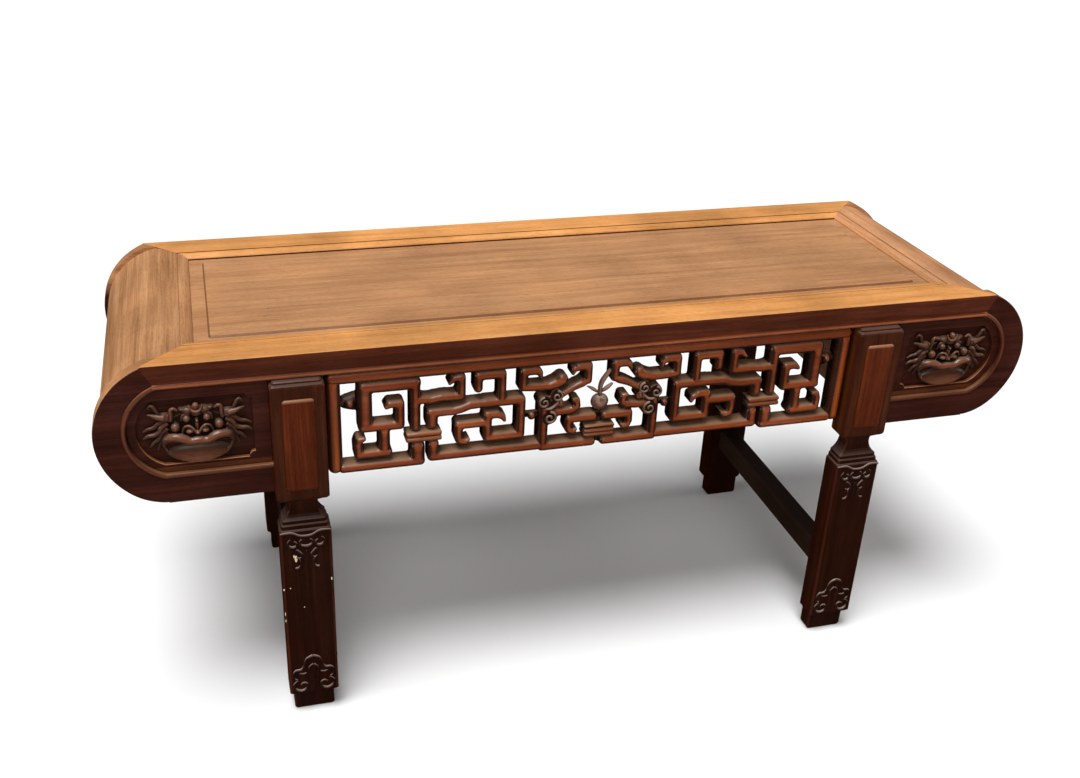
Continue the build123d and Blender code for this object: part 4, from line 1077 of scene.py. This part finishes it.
# %% Chips on the most used leg: x, z, half width and half height
CHIPS = (
    (321.5, 205, 1.5, 4.5), (323.2, 208, 1.0, 2.2), (335.6, 168, 0.8, 1.3), (329, 169, 0.6, 0.9),
    (336, 137, 0.5, 2.6), (336, 128, 0.5, 1.8), (286.4, 175, 0.7, 2.0), (316, 143, 0.6, 0.8),
)


def chips():
    """Thin flakes of bare wood, where a knock took the stain off."""
    bm = bmesh.new()
    for x, z, wide, tall in CHIPS:
        ball(bm, x * MM, leg_front - 0.1 * MM, z * MM, (wide * MM, 0.3 * MM, tall * MM), 10)
    paint(bm, BARE)
    return bm


# %% Carve the legs
leg_piece = carved_leg()
chipped_leg = leg_piece.copy()
keep_part(chipped_leg, chips())
leg_finishes = [leg_finish, leg_carving_finish, bare_finish, leg_field_finish, leg_edge_finish]
print("leg faces:", len(leg_piece.faces))
for depth, y_side in DEPTHS:
    for end, x_side in SIDES:
        chosen = chipped_leg if (depth, end) == ("front", "left") else leg_piece
        finish(chosen, f"carved_leg_{depth}_{end}", leg_finishes, "leg_wood", [f"leg_{depth}_{end}"],
               x_side, y_side)

# %% [markdown]
# ## Floor, light and camera
# A plain pale floor, one large soft light overhead, and weaker ones from the front and both sides,
# as in a small product studio. A real softbox is an area lamp, but a wide sun lights the floor
# evenly from end to end. The camera stands a little above and to the left of the table, as a
# person's eye would.

# %% Floor
sheet = bmesh.new()
bmesh.ops.create_grid(sheet, x_segments=1, y_segments=1, size=30)
floor = as_object(sheet, "floor")
floor_paint = bpy.data.materials.new("pale_floor")
floor_paint.use_nodes = True
plain = floor_paint.node_tree.nodes["Principled BSDF"].inputs
plain["Base Color"].default_value = linear("#F4F4F4")
plain["Roughness"].default_value = 0.9
floor.data.materials.append(floor_paint)
floor.visible_glossy = False     # the dark lacquer would mirror it and turn grey

# %% Lights
world = bpy.data.worlds.new("studio")
world.use_nodes = True
tree = world.node_tree
sky = add(tree, "ShaderNodeTexCoord").outputs["Generated"]
sky = add(tree, "ShaderNodeSeparateXYZ", {"Vector": sky}).outputs["Z"]
sky = add(tree, "ShaderNodeMapRange", {"Value": sky, "From Min": -0.05, "From Max": 0.4, "To Min": 0.0,
                                       "To Max": 0.11}).outputs["Result"]
tree.links.new(sky, tree.nodes["Background"].inputs["Strength"])
tree.nodes["Background"].inputs["Color"].default_value = (1.0, 1.0, 1.0, 1.0)
bpy.context.scene.world = world


def soft_light(name, direction, spread, strength):
    """A wide, far softbox: light from one direction, spread over an angle in degrees."""
    lamp = bpy.data.lights.new(name, "SUN")
    lamp.angle = math.radians(spread)
    lamp.energy = strength
    holder = bpy.data.objects.new(name, lamp)
    holder.rotation_mode = "QUATERNION"
    holder.rotation_quaternion = Vector(direction).to_track_quat("Z", "Y")
    bpy.context.scene.collection.objects.link(holder)


soft_light("overhead", (-0.22, -0.22, 1.0), 28, 3.05)
soft_light("front", (-0.15, -1.0, 0.8), 30, 0.65)
soft_light("left", (-1.0, -0.15, 0.1), 30, 1.3)
soft_light("right", (1.0, -0.15, 0.2), 30, 0.7)

# %% Camera
LENS_PIXELS = 1178.13          # focal length in pixels of a 1080 wide frame
FRAME_WIDE = 1080
FRAME_HIGH = 778
CENTRE = (508.12, 382.21)      # where the lens's axis meets the frame
EYE = Vector((-0.38319, -1.16980, 0.92143))
YAW, PITCH, ROLL = 0.2726, -0.4773, 0.0339
ahead = Vector((math.sin(YAW) * math.cos(PITCH), math.cos(YAW) * math.cos(PITCH), math.sin(PITCH)))
level = Vector((math.cos(YAW), -math.sin(YAW), 0))
upward = level.cross(ahead)
right = math.cos(ROLL) * level + math.sin(ROLL) * upward
top = -math.sin(ROLL) * level + math.cos(ROLL) * upward
lens = bpy.data.cameras.new("camera")
lens.sensor_width = 36.0
lens.lens = LENS_PIXELS / FRAME_WIDE * lens.sensor_width
lens.shift_x = (FRAME_WIDE / 2 - CENTRE[0]) / FRAME_WIDE
lens.shift_y = (CENTRE[1] - FRAME_HIGH / 2) / FRAME_WIDE
camera = bpy.data.objects.new("camera", lens)
camera.matrix_world = Matrix.Translation(EYE) @ Matrix((right, top, -ahead)).transposed().to_4x4()
bpy.context.scene.collection.objects.link(camera)
bpy.context.scene.camera = camera
bpy.context.scene.view_settings.view_transform = "Standard"
